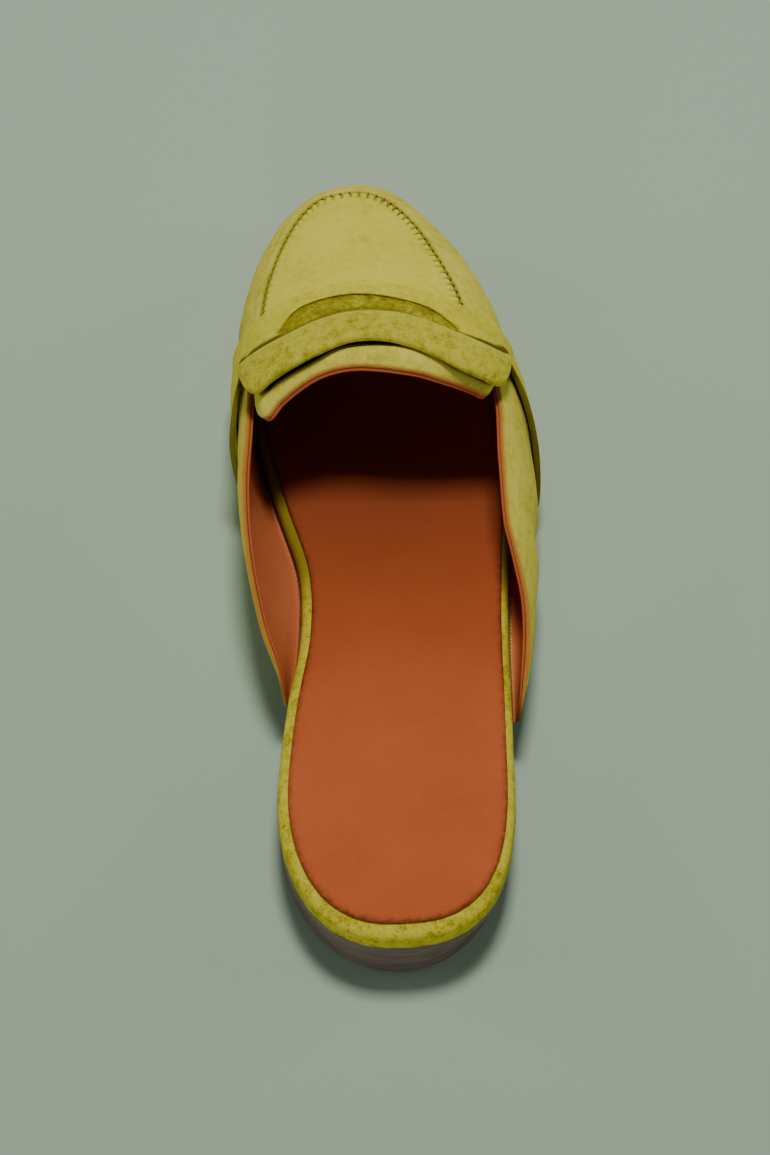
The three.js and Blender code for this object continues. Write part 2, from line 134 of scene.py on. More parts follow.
# Edges of the overlays. s is the share of a side's girth from the crown, negative on the medial side; rear
# and front are distances from the heel.
SADDLE = {
    "s": [-0.995, -0.85, -0.7, -0.6, -0.54, -0.5, -0.25, 0, 0.25, 0.5, 0.56, 0.64, 0.75, 0.85, 0.995],
    "rear": [138.5, 142, 148, 155, 165, 170, 168, 168, 168, 171, 166, 156, 146, 140.5, 134.5],
    "front": [186, 186, 186.5, 187, 188, 188.5, 192.3, 195.5, 190, 186, 185.5, 185, 184.5, 184.5, 184.5],
}
SLOT = {
    "s": [-0.34, -0.29, -0.24, -0.12, 0, 0.14, 0.25, 0.345],
    "rear": [176.2, 174.4, 173.8, 173, 172, 172.5, 172.8, 173.4],
    "front": [179, 184.2, 186.6, 188.4, 188.5, 186.1, 182.9, 176.5],
}
BAND = {
    "s": [-0.475, -0.45, -0.42, -0.385, -0.33, -0.26, -0.16, -0.06, 0.03, 0.12, 0.2, 0.28, 0.36, 0.42,
          0.455, 0.49, 0.515],
    "rear": [166.5, 161.5, 157, 155.2, 156.4, 157.8, 160.2, 162.8, 163, 161, 158.4, 155.9, 155, 155,
             157.6, 162.8, 167.4],
    "front": [170.3, 170.8, 171, 171, 171.3, 172.2, 174.7, 176.5, 176.7, 175.7, 172.7, 169.7, 168.4,
              168.6, 169, 169.6, 170.6],
}
TONGUE = {
    "s": [-0.487, -0.475, -0.455, -0.427, -0.4, -0.36, -0.286, -0.196, -0.112, -0.036, 0.034, 0.102, 0.174,
          0.248, 0.32, 0.38, 0.42, 0.445, 0.456],
    "rear": [162, 155, 152.3, 150.8, 150.9, 152.8, 155.0, 157.6, 158.7, 158.6, 157.7, 156.7, 156, 155.1,
             154.7, 154.5, 154.4, 155.8, 160],
    "front": [172, 173.8, 174.4, 174.4, 174.4, 174.4, 174.4, 174.4, 174.4, 174.4, 174.4, 174.4, 174.4,
              174.4, 174.4, 174.4, 174.4, 173.8, 172],
}
# How far under the band, past its rear edge, the tongue is painted dark, fitted to the stage camera's place.
TONGUE_SHADE = {
    "s": [-0.43, -0.365, -0.29, -0.21, -0.12, 0.05, 0.2, 0.45],
    "past": [3.0, 2.3, 1.5, 1.9, 2.7, 2.7, 2.2, 2.1],
}
# The hand-sewn seam round the apron, from under the saddle on the medial side, round the toe and back.
SEAM = {
    "s": [-0.44, -0.435, -0.42, -0.40, -0.365, -0.30, -0.20, -0.05, 0.08, 0.19, 0.27, 0.325, 0.36, 0.38,
          0.395, 0.405],
    "y": [180, 198, 208, 219, 228.5, 235.3, 238.3, 239.3, 238.6, 235.5, 229.5, 221, 209, 198, 186, 178],
}
# Outlines of the heel block: how far each side draws in from the footprint, by height over the floor.
HEEL_DRAW = {
    "z": [0, 4, 13],
    "medial": [0.3, 0.3, 0.3],
    "lateral": [0.6, 0.6, 0.5],
    "rear": [0.0, 0.2, 0.6],
}
# Soft creases of the worn upper: lines on the last, each with its width and depth.
CREASES = {
    "from_s": [0.46, 0.50, -0.47, -0.55, 0.62, 0.30, -0.30, 0.10],
    "from_y": [196, 205, 197, 206, 128, 178, 181, 194],
    "to_s": [0.78, 0.74, -0.75, -0.72, 0.90, 0.36, -0.35, -0.12],
    "to_y": [190, 199, 192, 200, 118, 172, 178, 198],
    "width": [3.4, 3.0, 3.2, 2.8, 5.0, 1.3, 1.3, 5.0],
    "depth": [0.5, 0.35, 0.45, 0.3, 0.7, 0.35, 0.3, 0.25],
}


# ---- Curves and surfaces ----
def hex_colour(code):
    """Linear red, green and blue of an sRGB hex colour."""
    srgb = np.array([int(code[i:i + 2], 16) for i in (1, 3, 5)]) / 255
    return tuple(np.where(srgb <= 0.04045, srgb / 12.92, ((srgb + 0.055) / 1.055) ** 2.4))


def curve_through(table, column, at, key="y"):
    """A cubic between a table's rows, with each row's slope taken across its two neighbours."""
    x = np.array(table[key], float)
    value = np.array(table[column], float)
    after = np.minimum(np.arange(len(x)) + 1, len(x) - 1)
    before = np.maximum(np.arange(len(x)) - 1, 0)
    slope = (value[after] - value[before]) / (x[after] - x[before])
    i = np.clip(np.searchsorted(x, at, side="right") - 1, 0, len(x) - 2)
    span = x[i + 1] - x[i]
    t = (at - x[i]) / span
    return (value[i] * (2 * t**3 - 3 * t**2 + 1) + span * slope[i] * (t**3 - 2 * t**2 + t)
            + value[i + 1] * (3 * t**2 - 2 * t**3) + span * slope[i + 1] * (t**3 - t**2))


def smooth(value, low, high):
    """0 below low, 1 above high, and a smooth step between."""
    t = np.clip((value - low) / (high - low), 0, 1)
    return t * t * (3 - 2 * t)


def closing(y, start, tip, power):
    """A quarter of a superellipse: 1 at start, 0 at tip."""
    t = np.clip((y - start) / (tip - start), 0, 1)
    return np.clip(1 - t**power, 0, None) ** (1 / power)


def bump(distance, width):
    """A rounded ridge: 1 in its middle, near 0 past its width on each side."""
    return np.exp(-(distance / width) ** 2)


def sole_top(y):
    """Heel seat, then the shank's fall to the ball, then the toe spring as a parabola."""
    spring = np.clip((y - SPRING_START) / (SPRING_END - SPRING_START), 0, None)
    fall = smooth(y, HEEL_SEAT_END, BALL_START)
    return HEEL_SEAT - (HEEL_SEAT - BALL_SEAT) * fall + SPRING_RISE * spring**2


def board_top(y):
    """Top of the footbed: a rim over the sole that gets lower towards the ball."""
    return sole_top(y) + GAP + BOARD_HEEL + (BOARD_TOE - BOARD_HEEL) * smooth(y, *BOARD_FALL)


def half_width(side, y, heel=HEEL_BACK, toe=FEATHER_TOE, power=None):
    """Plan half width of the footprint, closed by superellipses at heel and toe."""
    heel_end, heel_power = HEEL_ROUND[side]
    heel_power = power or heel_power
    toe_start, toe_power = TOE_TAPER[side]
    return (curve_through(FOOTPRINT, side, y) * closing(heel_end - y, 0, heel_end - heel, heel_power)
            * closing(y, toe_start, toe, toe_power))


def half_point(side, turn, y):
    """x and z on one side of the last. For turn 0 to 1 a superellipse arch falls from the crown to the
    bulge, and for 1 to 2 a second one tucks under to the feather line."""
    start, power = TOE_TAPER[side]
    shrink = closing(y, start, TOE, power)
    foot = curve_through(FOOTPRINT, side, y) * closing(y, start, FEATHER_TOE, power)
    bulge = curve_through(LAST, f"{side}_bulge", y) * shrink
    high = curve_through(LAST, f"{side}_high", y)
    crown_x = (-1 if side == "medial" else 1) * curve_through(LAST, "crown_x", y) * shrink
    crown_start, crown_power = TOE_TAPER["crown"]
    crown_z = (curve_through(LAST, "rise", y) - high) * closing(y, crown_start, TOE, crown_power)
    drop = high * closing(y, FEATHER_TOE, TOE, 2)
    arch = 2 / curve_through(LAST, "arch", y)
    tuck = 2 / curve_through(LAST, f"{side}_tuck", y)
    over = np.clip(turn, 0, 1) * np.pi / 2
    under = np.clip(turn - 1, 0, 1) * np.pi / 2
    x = np.where(turn <= 1, crown_x + (bulge - crown_x) * np.sin(over) ** arch,
                 foot + (bulge - foot) * np.clip(np.cos(under), 0, 1) ** tuck)
    z = np.where(turn <= 1, crown_z * np.clip(np.cos(over), 0, 1) ** arch, -drop * np.sin(under) ** tuck)
    return x, sole_top(y) + high + z


# Turns and girth by station, so that s can be an even share of each side's girth.
STATIONS = QUARTER_START + (TOE - TOE_CAP - QUARTER_START) * (1 - (1 - np.linspace(0, 1, 420)) ** 1.5)
TURNS = np.linspace(0, 2, 241)
SHARES = np.linspace(0, 1, 201)


def girth_tables(side):
    """The turn at each share of the girth, and the girth itself, for every station."""
    turn, y = np.meshgrid(TURNS, STATIONS)
    x, z = half_point(side, turn, y)
    length = np.cumsum(np.hypot(np.diff(x, axis=1), np.diff(z, axis=1)), axis=1)
    length = np.hstack([np.zeros((len(STATIONS), 1)), length])
    share = length / np.maximum(length[:, -1:], 1e-9)
    turns = np.stack([np.interp(SHARES, row, TURNS) for row in share])
    return turns, length[:, -1]


GIRTHS = {side: girth_tables(side) for side in ("medial", "lateral")}


def girth(side, y):
    """Length of one side of a section, from the crown to the feather line."""
    return np.interp(y, STATIONS, GIRTHS[side][1])


BAND_GIRTH = float(girth("lateral", 165))  # millimetres for a whole share at the band
TONGUE_GIRTH = float(girth("lateral", 160))  # and at the tongue


def edge_at(table, column, s):
    """An overlay's edge at s, held at its table's two ends."""
    return curve_through(table, column, np.clip(s, table["s"][0], table["s"][-1]), "s")


def last_point(s, y):
    """A point of the last at s, the share of a side's girth from the crown, negative on the medial side."""
    s, y = np.broadcast_arrays(np.asarray(s, float), np.asarray(y, float))
    row = np.interp(y, STATIONS, np.arange(len(STATIONS)))
    column = np.clip(np.abs(s), 0, 1) * (len(SHARES) - 1)
    i = np.minimum(row.astype(int), len(STATIONS) - 2)
    j = np.minimum(column.astype(int), len(SHARES) - 2)
    u = row - i
    v = column - j
    places = {}
    for side in GIRTHS:
        turns = GIRTHS[side][0]
        turn = ((turns[i, j] * (1 - v) + turns[i, j + 1] * v) * (1 - u)
                + (turns[i + 1, j] * (1 - v) + turns[i + 1, j + 1] * v) * u)
        places[side] = half_point(side, turn, y)
    x = np.where(s < 0, -places["medial"][0], places["lateral"][0])
    z = np.where(s < 0, places["medial"][1], places["lateral"][1])
    return np.stack([x, y, z], -1)


def last_normal(s, y):
    """Outward normal of the last, from the cross product of its two directions."""
    side_step = 0.006
    forward_step = np.minimum(0.5, (TOE - y) * 0.4)
    across = last_point(np.minimum(s + side_step, 1), y) - last_point(np.maximum(s - side_step, -1), y)
    along = last_point(s, y + forward_step) - last_point(s, y - forward_step)
    normal = np.cross(across, along)
    return normal / np.maximum(np.linalg.norm(normal, axis=-1, keepdims=True), 1e-12)


def solve_share(side, y, offset, height):
    """The s where the last, grown by offset, passes a height, found by halving between crown and feather."""
    halvings = 22
    sign = -1 if side == "medial" else 1
    low = np.full(len(y), 0.05)
    high = np.ones(len(y))
    for _ in range(halvings):
        middle = (low + high) / 2
        s = sign * middle
        z = (last_point(s, y) + last_normal(s, y) * offset)[:, 2]
        low = np.where(z > height, middle, low)
        high = np.where(z > height, high, middle)
    return sign * (low + high) / 2


# ---- Meshes ----
EDGE_STEPS = 5  # points round an edge, from its tip to full thickness


def edged(length, radius, count, start=True, end=True):
    """Positions from 0 to 1 along a length, closely spaced where an edge rounds, and each one's share of the
    full thickness. Over an edge the distance is radius times 1 - cos and the thickness goes as sin."""
    length = np.asarray(length, float)[..., None]
    radius = np.minimum(radius, length / 3)
    turn = np.linspace(0, np.pi / 2, EDGE_STEPS + 1)[:-1]
    rounding = radius * (1 - np.cos(turn))
    fullness = np.sin(turn)
    first = radius if start else 0 * radius
    final = length - radius if end else length
    parts = [first + (final - first) * np.linspace(0, 1, count)]
    shares = [np.ones(count)]
    if start:
        parts.insert(0, rounding)
        shares.insert(0, fullness)
    if end:
        parts.append(length - rounding[..., ::-1])
        shares.append(fullness[::-1])
    return np.concatenate(parts, -1) / length, np.concatenate(shares)


def sheet_faces(keep, spine=False):
    """Faces of a sheet with two skins, outer then inner, with walls along the free edges of kept cells. With
    a spine, the first row folds back on itself and closes without a wall."""
    rows, columns = keep.shape
    index = np.arange((rows + 1) * (columns + 1)).reshape(rows + 1, columns + 1)
    outer = np.stack([index[:-1, :-1], index[:-1, 1:], index[1:, 1:], index[1:, :-1]], -1)[keep]
    a = outer.ravel()
    b = np.roll(outer, -1, axis=1).ravel()
    free = ~np.isin(a * index.size + b, b * index.size + a)
    a, b = a[free], b[free]
    if spine:
        off_spine = (a > columns) | (b > columns)
        a, b = a[off_spine], b[off_spine]
    walls = np.stack([b, a, a + index.size, b + index.size], -1)
    return np.vstack([outer, outer[:, ::-1] + index.size, walls])


def every_cell(grid):
    """Mask that keeps each cell between a grid's points."""
    return np.ones((grid.shape[0] - 1, grid.shape[1] - 1), bool)


def grid_faces(rows, columns, start=0, flip=False):
    """Faces of a plain grid of points."""
    index = np.arange(rows * columns).reshape(rows, columns) + start
    faces = np.stack([index[:-1, :-1], index[:-1, 1:], index[1:, 1:], index[1:, :-1]], -1).reshape(-1, 4)
    return faces[:, ::-1] if flip else faces


def own_shift():
    """From the heel's back and the last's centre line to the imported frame, read off the footbed's box."""
    y = np.linspace(HEEL_BACK, FOOTBED_TOE, 2000)
    widest = half_width("medial", y, HEEL_BACK, FOOTBED_TOE).max() - FOOTBED_INSET
    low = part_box("footbed")[0]
    return np.array([low.x / MM + widest, low.y / MM - HEEL_BACK, 0])


SHIFT = own_shift()


def make_piece(name, points, faces, material, slot, replaces=(), **attributes):
    """A mesh from millimetre points and quads: placed in the frame, doubles merged so that edges and poles
    close, shaded smooth, riding on the shoe's body and given its material. Its slot is not used."""
    used = np.unique(faces)
    lookup = np.zeros(len(points), int)
    lookup[used] = np.arange(len(used))
    place = ((points[used] + SHIFT) * MM).astype(np.float32)
    corners = lookup[faces].astype(np.int32)
    mesh = bpy.data.meshes.new(name)
    mesh.vertices.add(len(place))
    mesh.vertices.foreach_set("co", place.ravel())
    mesh.loops.add(corners.size)
    mesh.loops.foreach_set("vertex_index", corners.ravel())
    mesh.polygons.add(len(corners))
    mesh.polygons.foreach_set("loop_start", np.arange(0, corners.size, corners.shape[1], dtype=np.int32))
    mesh.update(calc_edges=True)
    for key, values in attributes.items():
        layer = mesh.attributes.new(key, "FLOAT", "POINT")
        layer.data.foreach_set("value", np.asarray(values, np.float32)[used])
    merged = bmesh.new()
    merged.from_mesh(mesh)
    bmesh.ops.remove_doubles(merged, verts=merged.verts, dist=SAME_POINT * MM)
    bmesh.ops.dissolve_degenerate(merged, edges=merged.edges, dist=SAME_POINT * MM)
    merged.to_mesh(mesh)
    merged.free()
    mesh.polygons.foreach_set("use_smooth", np.ones(len(mesh.polygons), bool))
    mesh.update()
    piece = bpy.data.objects.new(name, mesh)
    bpy.context.scene.collection.objects.link(piece)
    mesh.materials.append(material)
    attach(piece, BODY)
    if replaces:
        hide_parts(*replaces)
    return piece


def over_sole(points):
    """Points lower than the outsole's top, and a gap, raised to it, so that a sheet ends flat on the sole."""
    points[..., 2] = np.maximum(points[..., 2], sole_top(points[..., 1]) + GAP)
    return points


def make_sheet(name, s, y, inner, outer, fullness, keep, material, slot, replaces=(), spine=False,
               **attributes):
    """A sheet on the last between two offsets. Its thickness is the offsets' difference times fullness, so
    where fullness is 0 the two skins meet in a rounded edge."""
    base = last_point(s, y)
    normal = last_normal(s, y)
    middle = ((inner + outer) / 2)[..., None]
    half = ((outer - inner) / 2 * fullness)[..., None]
    skins = [over_sole(base + normal * (middle + side * half)).reshape(-1, 3) for side in (1, -1)]
    doubled = {key: np.tile(values.ravel(), 2) for key, values in attributes.items()}
    return make_piece(name, np.vstack(skins), sheet_faces(keep, spine), material, slot, replaces, **doubled)


def seam_path(count):
    """s, y and place of points along the apron seam, evenly spaced by length."""
    rows = np.arange(len(SEAM["s"]), dtype=float)
    table = {**SEAM, "row": rows}
    fine = np.linspace(0, rows[-1], 2000)
    s = curve_through(table, "s", fine, "row")
    y = curve_through(table, "y", fine, "row")
    place = last_point(s, y)
    length = np.r_[0, np.cumsum(np.linalg.norm(np.diff(place, axis=0), axis=1))]
    even = np.linspace(0, length[-1], count)
    s = np.interp(even, length, s)
    y = np.interp(even, length, y)
    return s, y, last_point(s, y), even


def seam_distance(s, y):
    """Distance from the apron seam in millimetres, positive inside the apron."""
    seam_s, seam_y, seam_place, _ = seam_path(700)
    place = last_point(s, y).reshape(-1, 3)
    flat_s, flat_y = s.ravel(), y.ravel()
    distance = np.full(len(place), FAR)
    near = np.flatnonzero(flat_y > SEAM["y"][0] - 12)
    for chunk in np.array_split(near, max(1, len(near) // 4000)):
        gaps = np.linalg.norm(place[chunk, None] - seam_place[None], axis=2)
        distance[chunk] = gaps.min(1)
    edge = np.interp(flat_s, seam_s, seam_y, left=0, right=0)
    return np.where(flat_y < edge, distance, -distance).reshape(s.shape)


def crease_relief(s, y):
    """Sum of the soft creases: across each line a trough, fading out towards the line's two ends."""
    relief = np.zeros(s.shape)
    rows = zip(*(CREASES[key] for key in ("from_s", "from_y", "to_s", "to_y", "width", "depth")))
    for from_s, from_y, to_s, to_y, width, depth in rows:
        reach = girth("lateral", (from_y + to_y) / 2)
        line = np.array([(to_s - from_s) * reach, to_y - from_y])
        place = np.stack([(s - from_s) * reach, y - from_y], -1)
        along = np.clip(place @ line / (line @ line), 0, 1)
        distance = np.linalg.norm(place - along[..., None] * line, axis=-1)
        relief -= depth * bump(distance, width) * np.sin(np.pi * along) ** 0.7
        relief += 0.4 * depth * bump(distance - 1.8 * width, 0.8 * width) * np.sin(np.pi * along) ** 0.7
    return relief


def handmade_relief(s, y, size, seed):
    """Low, broad unevenness of soft leather: the mean of seven sine waves of random direction, length and
    phase, over s at 60 mm to a share."""
    waves = 7
    draws = np.random.default_rng(seed)
    relief = np.zeros(s.shape)
    for _ in range(waves):
        direction = draws.uniform(0, np.pi)
        wave = 2 * np.pi / draws.uniform(14, 34)
        phase = draws.uniform(0, 2 * np.pi)
        relief += np.sin((60 * s * np.cos(direction) + y * np.sin(direction)) * wave + phase)
    return relief * size / waves


# ---- Materials ----
def add_node(tree, kind, settings=None, inputs=None):
    """A node with its settings, each input set to a value or linked from another node's socket. Colours
    of three values are made opaque."""
    node = tree.nodes.new(kind)
    for name, value in (settings or {}).items():
        setattr(node, name, value)
    for name, value in (inputs or {}).items():
        if isinstance(value, bpy.types.NodeSocket):
            tree.links.new(value, node.inputs[name])
        elif node.inputs[name].type == "RGBA":
            node.inputs[name].default_value = (*value[:3], 1.0)
        else:
            node.inputs[name].default_value = value
    return node


def per_metre(size_mm):
    """Texture scale for features of a size in millimetres."""
    return 1 / (size_mm * MM)


def new_material(name, shader_inputs):
    """A material with a Principled shader whose uniform values are set on its own sockets."""
    material = bpy.data.materials.new(name)
    material.use_nodes = True
    tree = material.node_tree
    shader = tree.nodes["Principled BSDF"]
    for key, value in shader_inputs.items():
        shader.inputs[key].default_value = value
    return material, tree, shader


def weighted(tree, sources):
    """Sum of sources, each less one half and times its weight, plus one half."""
    total = 0.5
    for source, weight in sources:
        centred = add_node(tree, "ShaderNodeMath", {"operation": "SUBTRACT"}, {0: source, 1: 0.5})
        total = add_node(tree, "ShaderNodeMath", {"operation": "MULTIPLY_ADD"},
                         {0: centred.outputs[0], 1: weight, 2: total}).outputs[0]
    return total


def finish_surface(tree, shader, colour, layers, height, strength, depth):
    """The shader's colour and relief: a first colour with others laid over it in turn, each by its own mask,
    and a height that stands for a depth in millimetres."""
    for mask, over in layers:
        colour = add_node(tree, "ShaderNodeMix", {"data_type": "RGBA", "blend_type": "MIX"},
                          {0: mask, 6: colour, 7: over}).outputs[2]
    tree.links.new(colour, shader.inputs["Base Color"])
    raised = add_node(tree, "ShaderNodeBump", {}, {"Height": height, "Strength": strength,
                                                   "Distance": depth * MM})
    tree.links.new(raised.outputs["Normal"], shader.inputs["Normal"])


def suede(name, base, dark, light, nap=0.55, streak_turn=0.2, edge=None, groove=None, rough=1.0):
    """Split leather with its nap raised by sanding and brushed by hand: no gloss, a soft bright sheen at
    grazing angles, and a colour that shifts lighter and darker where the nap lies one way or the other."""
    material, tree, shader = new_material(name, {
        "Roughness": 0.95, "Specular IOR Level": 0.08, "Sheen Weight": 0.07, "Sheen Roughness": 0.4,
        "Sheen Tint": (*light, 1.0),
    })
    place = add_node(tree, "ShaderNodeTexCoord").outputs["Object"]
    brushed = add_node(tree, "ShaderNodeMapping", {}, {
        "Vector": place, "Rotation": (0, 0, streak_turn), "Scale": (1.0, 0.22, 1.0),
    }).outputs["Vector"]
    # real nap fibres are about 0.1 mm; drawn at 0.5 to 1.2 mm so that they show
    blotch, streak, mottle, fibre = (
        add_node(tree, "ShaderNodeTexNoise", {}, {
            "Vector": vector, "Scale": per_metre(size_mm), "Detail": detail, "Distortion": distortion,
        }).outputs["Fac"]
        for vector, size_mm, detail, distortion in (
            (place, 17, 2, 0.0), (brushed, 2.2, 3, 0.6), (place, 2.6, 3, 0.4), (place, nap, 3, 0.0))
    )
    shade = weighted(tree, [(blotch, 0.45), (streak, 0.3 * rough), (mottle, 0.7 * rough),
                            (fibre, 0.6 * rough)])
    layers = []
    for nap_end, colour in ((0.1, dark), (0.9, light)):
        mask = add_node(tree, "ShaderNodeMapRange", {}, {
            "Value": shade, "From Min": 0.5, "From Max": nap_end, "To Min": 0.0, "To Max": 1.0,
        })
        layers.append((mask.outputs[0], colour))
    # The edge and groove colours go where a piece's attributes of these names say. groove is painted shade
    # wherever it is used; edge is painted shade on some pieces, a painted highlight on the band, and the
    # piece's own edge colour on others, as each piece says.
    for key, colour in (("edge", edge), ("groove", groove)):
        if colour is not None:
            mask = add_node(tree, "ShaderNodeAttribute", {"attribute_name": key})
            layers.append((mask.outputs["Fac"], colour))
    pile = weighted(tree, [(fibre, 1.0), (mottle, 0.8), (streak, 0.5)])
    finish_surface(tree, shader, base, layers, pile, strength=0.55, depth=0.45)
    return material


def smooth_leather(name, base, dark, raw, roughness=0.5, pore=0.9):
    """Vegetable-dyed lining leather, pressed smooth: a soft satin gloss, fine pores and cloudy colour that is
    darker at a cemented, burnished edge with painted shade beside it, darker still with painted shade where a
    piece marks it, and paler where the cut edge shows raw."""
    material, tree, shader = new_material(name, {
        "Roughness": roughness, "Specular IOR Level": 0.15, "IOR": 1.46,
    })
    place = add_node(tree, "ShaderNodeTexCoord").outputs["Object"]
    cloud, grain = (
        add_node(tree, "ShaderNodeTexNoise", {}, {
            "Vector": place, "Scale": per_metre(size_mm), "Detail": detail, "Distortion": distortion,
        }).outputs["Fac"]
        for size_mm, detail, distortion in ((24, 3, 0.0), (1.6, 4, 0.5))
    )
    pores = add_node(tree, "ShaderNodeTexVoronoi", {"feature": "F1"}, {
        "Vector": place, "Scale": per_metre(pore), "Randomness": 1.0,
    }).outputs["Distance"]
    spread = add_node(tree, "ShaderNodeMapRange", {}, {
        "Value": weighted(tree, [(cloud, 0.8), (grain, 0.35)]),
        "From Min": 0.2, "From Max": 0.8, "To Min": 0.0, "To Max": 0.55,
    }).outputs[0]
    # the first mask is painted shade, the second a cemented edge with painted shade beside it, the third a
    # raw cut edge
    toe_shade_mask, edge_mask, raw_mask = (
        add_node(tree, "ShaderNodeAttribute", {"attribute_name": key}).outputs["Fac"]
        for key in ("deep", "edge", "raw")
    )
    cemented_edge_and_shade = add_node(tree, "ShaderNodeMath", {"operation": "MULTIPLY"}, {
        0: edge_mask, 1: weighted(tree, [(grain, 1.6), (cloud, 0.6)]),
    }).outputs[0]
    layers = [(spread, dark), (toe_shade_mask, shaded(dark, 0.55)), (cemented_edge_and_shade, shaded(dark, 0.35)),
              (raw_mask, raw)]
    height = weighted(tree, [(grain, 0.6), (pores, 0.5)])
    finish_surface(tree, shader, base, layers, height, strength=0.22, depth=0.2)
    return material


def worn_rubber(name, base, dark, scuff, roughness=0.62):
    """Moulded rubber or a stained stacked heel: dark and dull, with a fine sanded grain that runs round the
    edge, and pale scuffs."""
    material, tree, shader = new_material(name, {"Roughness": roughness, "Specular IOR Level": 0.3})
    place = add_node(tree, "ShaderNodeTexCoord").outputs["Object"]
    layered = add_node(tree, "ShaderNodeMapping", {}, {
        "Vector": place, "Scale": (0.12, 0.12, 1.0),
    }).outputs["Vector"]
    cloud, sanded, specks = (
        add_node(tree, "ShaderNodeTexNoise", {}, {
            "Vector": vector, "Scale": per_metre(size_mm), "Detail": detail, "Distortion": distortion,
        }).outputs["Fac"]
        for vector, size_mm, detail, distortion in (
            (place, 14, 3, 0.0), (layered, 0.9, 4, 0.3), (place, 1.1, 2, 0.0))
    )
    shade = weighted(tree, [(cloud, 0.8), (sanded, 1.3)])
    spread = add_node(tree, "ShaderNodeMapRange", {}, {
        "Value": shade, "From Min": 0.2, "From Max": 0.8, "To Min": 0.0, "To Max": 1.0,
    }).outputs[0]
    marks = add_node(tree, "ShaderNodeMapRange", {}, {
        "Value": weighted(tree, [(specks, 1.0), (cloud, 0.7)]),
        "From Min": 0.72, "From Max": 0.86, "To Min": 0.0, "To Max": 0.5,
    }).outputs[0]
    finish_surface(tree, shader, dark, [(spread, base), (marks, scuff)], shade, strength=0.3, depth=0.3)
    return material


def waxed_thread(name, base, dark):
    """Waxed sewing thread, plied: a little gloss and a shade that varies along its length."""
    material, tree, shader = new_material(name, {"Roughness": 0.7, "Specular IOR Level": 0.3})
    place = add_node(tree, "ShaderNodeTexCoord").outputs["Object"]
    ply = add_node(tree, "ShaderNodeTexNoise", {}, {
        "Vector": place, "Scale": per_metre(0.6), "Detail": 2, "Distortion": 0.0,
    }).outputs["Fac"]
    finish_surface(tree, shader, base, [(ply, dark)], ply, strength=0.4, depth=0.1)
    return material


# ---- Settings ----
def size(name, description, millimetres):
    """A length that a user may change, kept in metres."""
    return bpy.props.FloatProperty(name=name, description=description, default=millimetres * MM, min=0,
                                   precision=5, subtype="DISTANCE", unit="LENGTH")


def tint(name, description, code):
    """A colour that a user may change, kept linear."""
    return bpy.props.FloatVectorProperty(name=name, description=description, size=3, subtype="COLOR", min=0,
                                         max=1, default=hex_colour(code))


class MuleSizes(bpy.types.PropertyGroup):
    """Thicknesses and details of the leather pieces."""

    lining: size("Lining", "Thickness of the leather lining", 0.8)
    saddle: size("Saddle", "Thickness of the saddle overlay", 1.6)
    band: size("Band", "Thickness of the instep band", 2.6)
    tongue: size("Tongue", "Thickness of the tongue, suede and lining together", 2.0)
    cheek_lift: size("Cheek lift", "How far the saddle's rear edges stand off the quarters", 1.3)
    seam_lip: size("Seam lip", "Height of the apron's raised edge", 0.65)
    stitch_pitch: size("Stitch pitch", "From one hand stitch of the apron to the next", 2.75)
    thread: size("Thread", "Thickness of the apron's sewing thread", 0.5)
    rim_round: size("Rim round", "Radius of the wrapped footbed's upper edge", 2.4)
    sock: size("Sock", "Thickness of the leather sock", 1.5)


class MuleColours(bpy.types.PropertyGroup):
    """Colours of suede, leather, thread and sole."""

    suede: tint("Suede", "Main colour of the suede", "#c8be47")
    # darker shares of it are also the painted shade at the seams, round the band, in the slot and inside the
    # shoe
    suede_dark: tint("Suede dark", "Suede with its nap brushed away", "#a09329")
    # a share of it is also the band's painted highlight along its front edge
    suede_light: tint("Suede light", "Suede with its nap brushed towards the light", "#d6cd5f")
    leather: tint("Leather", "Sock and lining", "#b4572b")
    # darker shares of it are also the painted shade towards the sock's toe and at its edge
    leather_dark: tint("Leather dark", "Sock and lining where the dye is deeper", "#96441f")
    leather_raw: tint("Raw edge", "Cut edge of the lining", "#a34d2b")
    sole: tint("Sole", "Rubber and heel stack", "#6d6054")
    sole_dark: tint("Sole dark", "Rubber and heel stack in the grain", "#564b41")
    scuff: tint("Scuff", "Pale marks on the heel", "#8d857a")
    thread: tint("Thread", "Sewing thread of the apron", "#7d7126")


class MuleStage(bpy.types.PropertyGroup):
    """Floor, lights and camera."""

    floor: tint("Floor", "Colour of the plain floor", "#9db19d")
    distance: size("Camera distance", "From the camera to the point it looks at", 850)
    lens: bpy.props.FloatProperty(name="Lens", description="Focal length for a 36 mm sensor", default=91.01,
                                  min=10, unit="CAMERA")
    azimuth: bpy.props.FloatProperty(name="Azimuth", description="Camera's turn from behind the heel",
                                     default=np.radians(-3.2), subtype="ANGLE", unit="ROTATION")
    elevation: bpy.props.FloatProperty(name="Elevation", description="Camera's height over the horizon",
                                       default=np.radians(62), subtype="ANGLE", unit="ROTATION")
    key: bpy.props.FloatProperty(name="Key light", description="Power of the overhead light", default=12.0,
                                 min=0, unit="POWER")


def sizes():
    """The sizes in millimetres, by name."""
    group = bpy.context.scene.mule_sizes
    return {name: getattr(group, name) / MM for name in MuleSizes.__annotations__}


def colours():
    """The linear colours, by name."""
    group = bpy.context.scene.mule_colours
    return {name: tuple(getattr(group, name)) for name in MuleColours.__annotations__}


def shaded(colour, share):
    """A colour times a share, or times one share each for red, green and blue."""
    return tuple(float(value) for value in np.array(colour) * share)


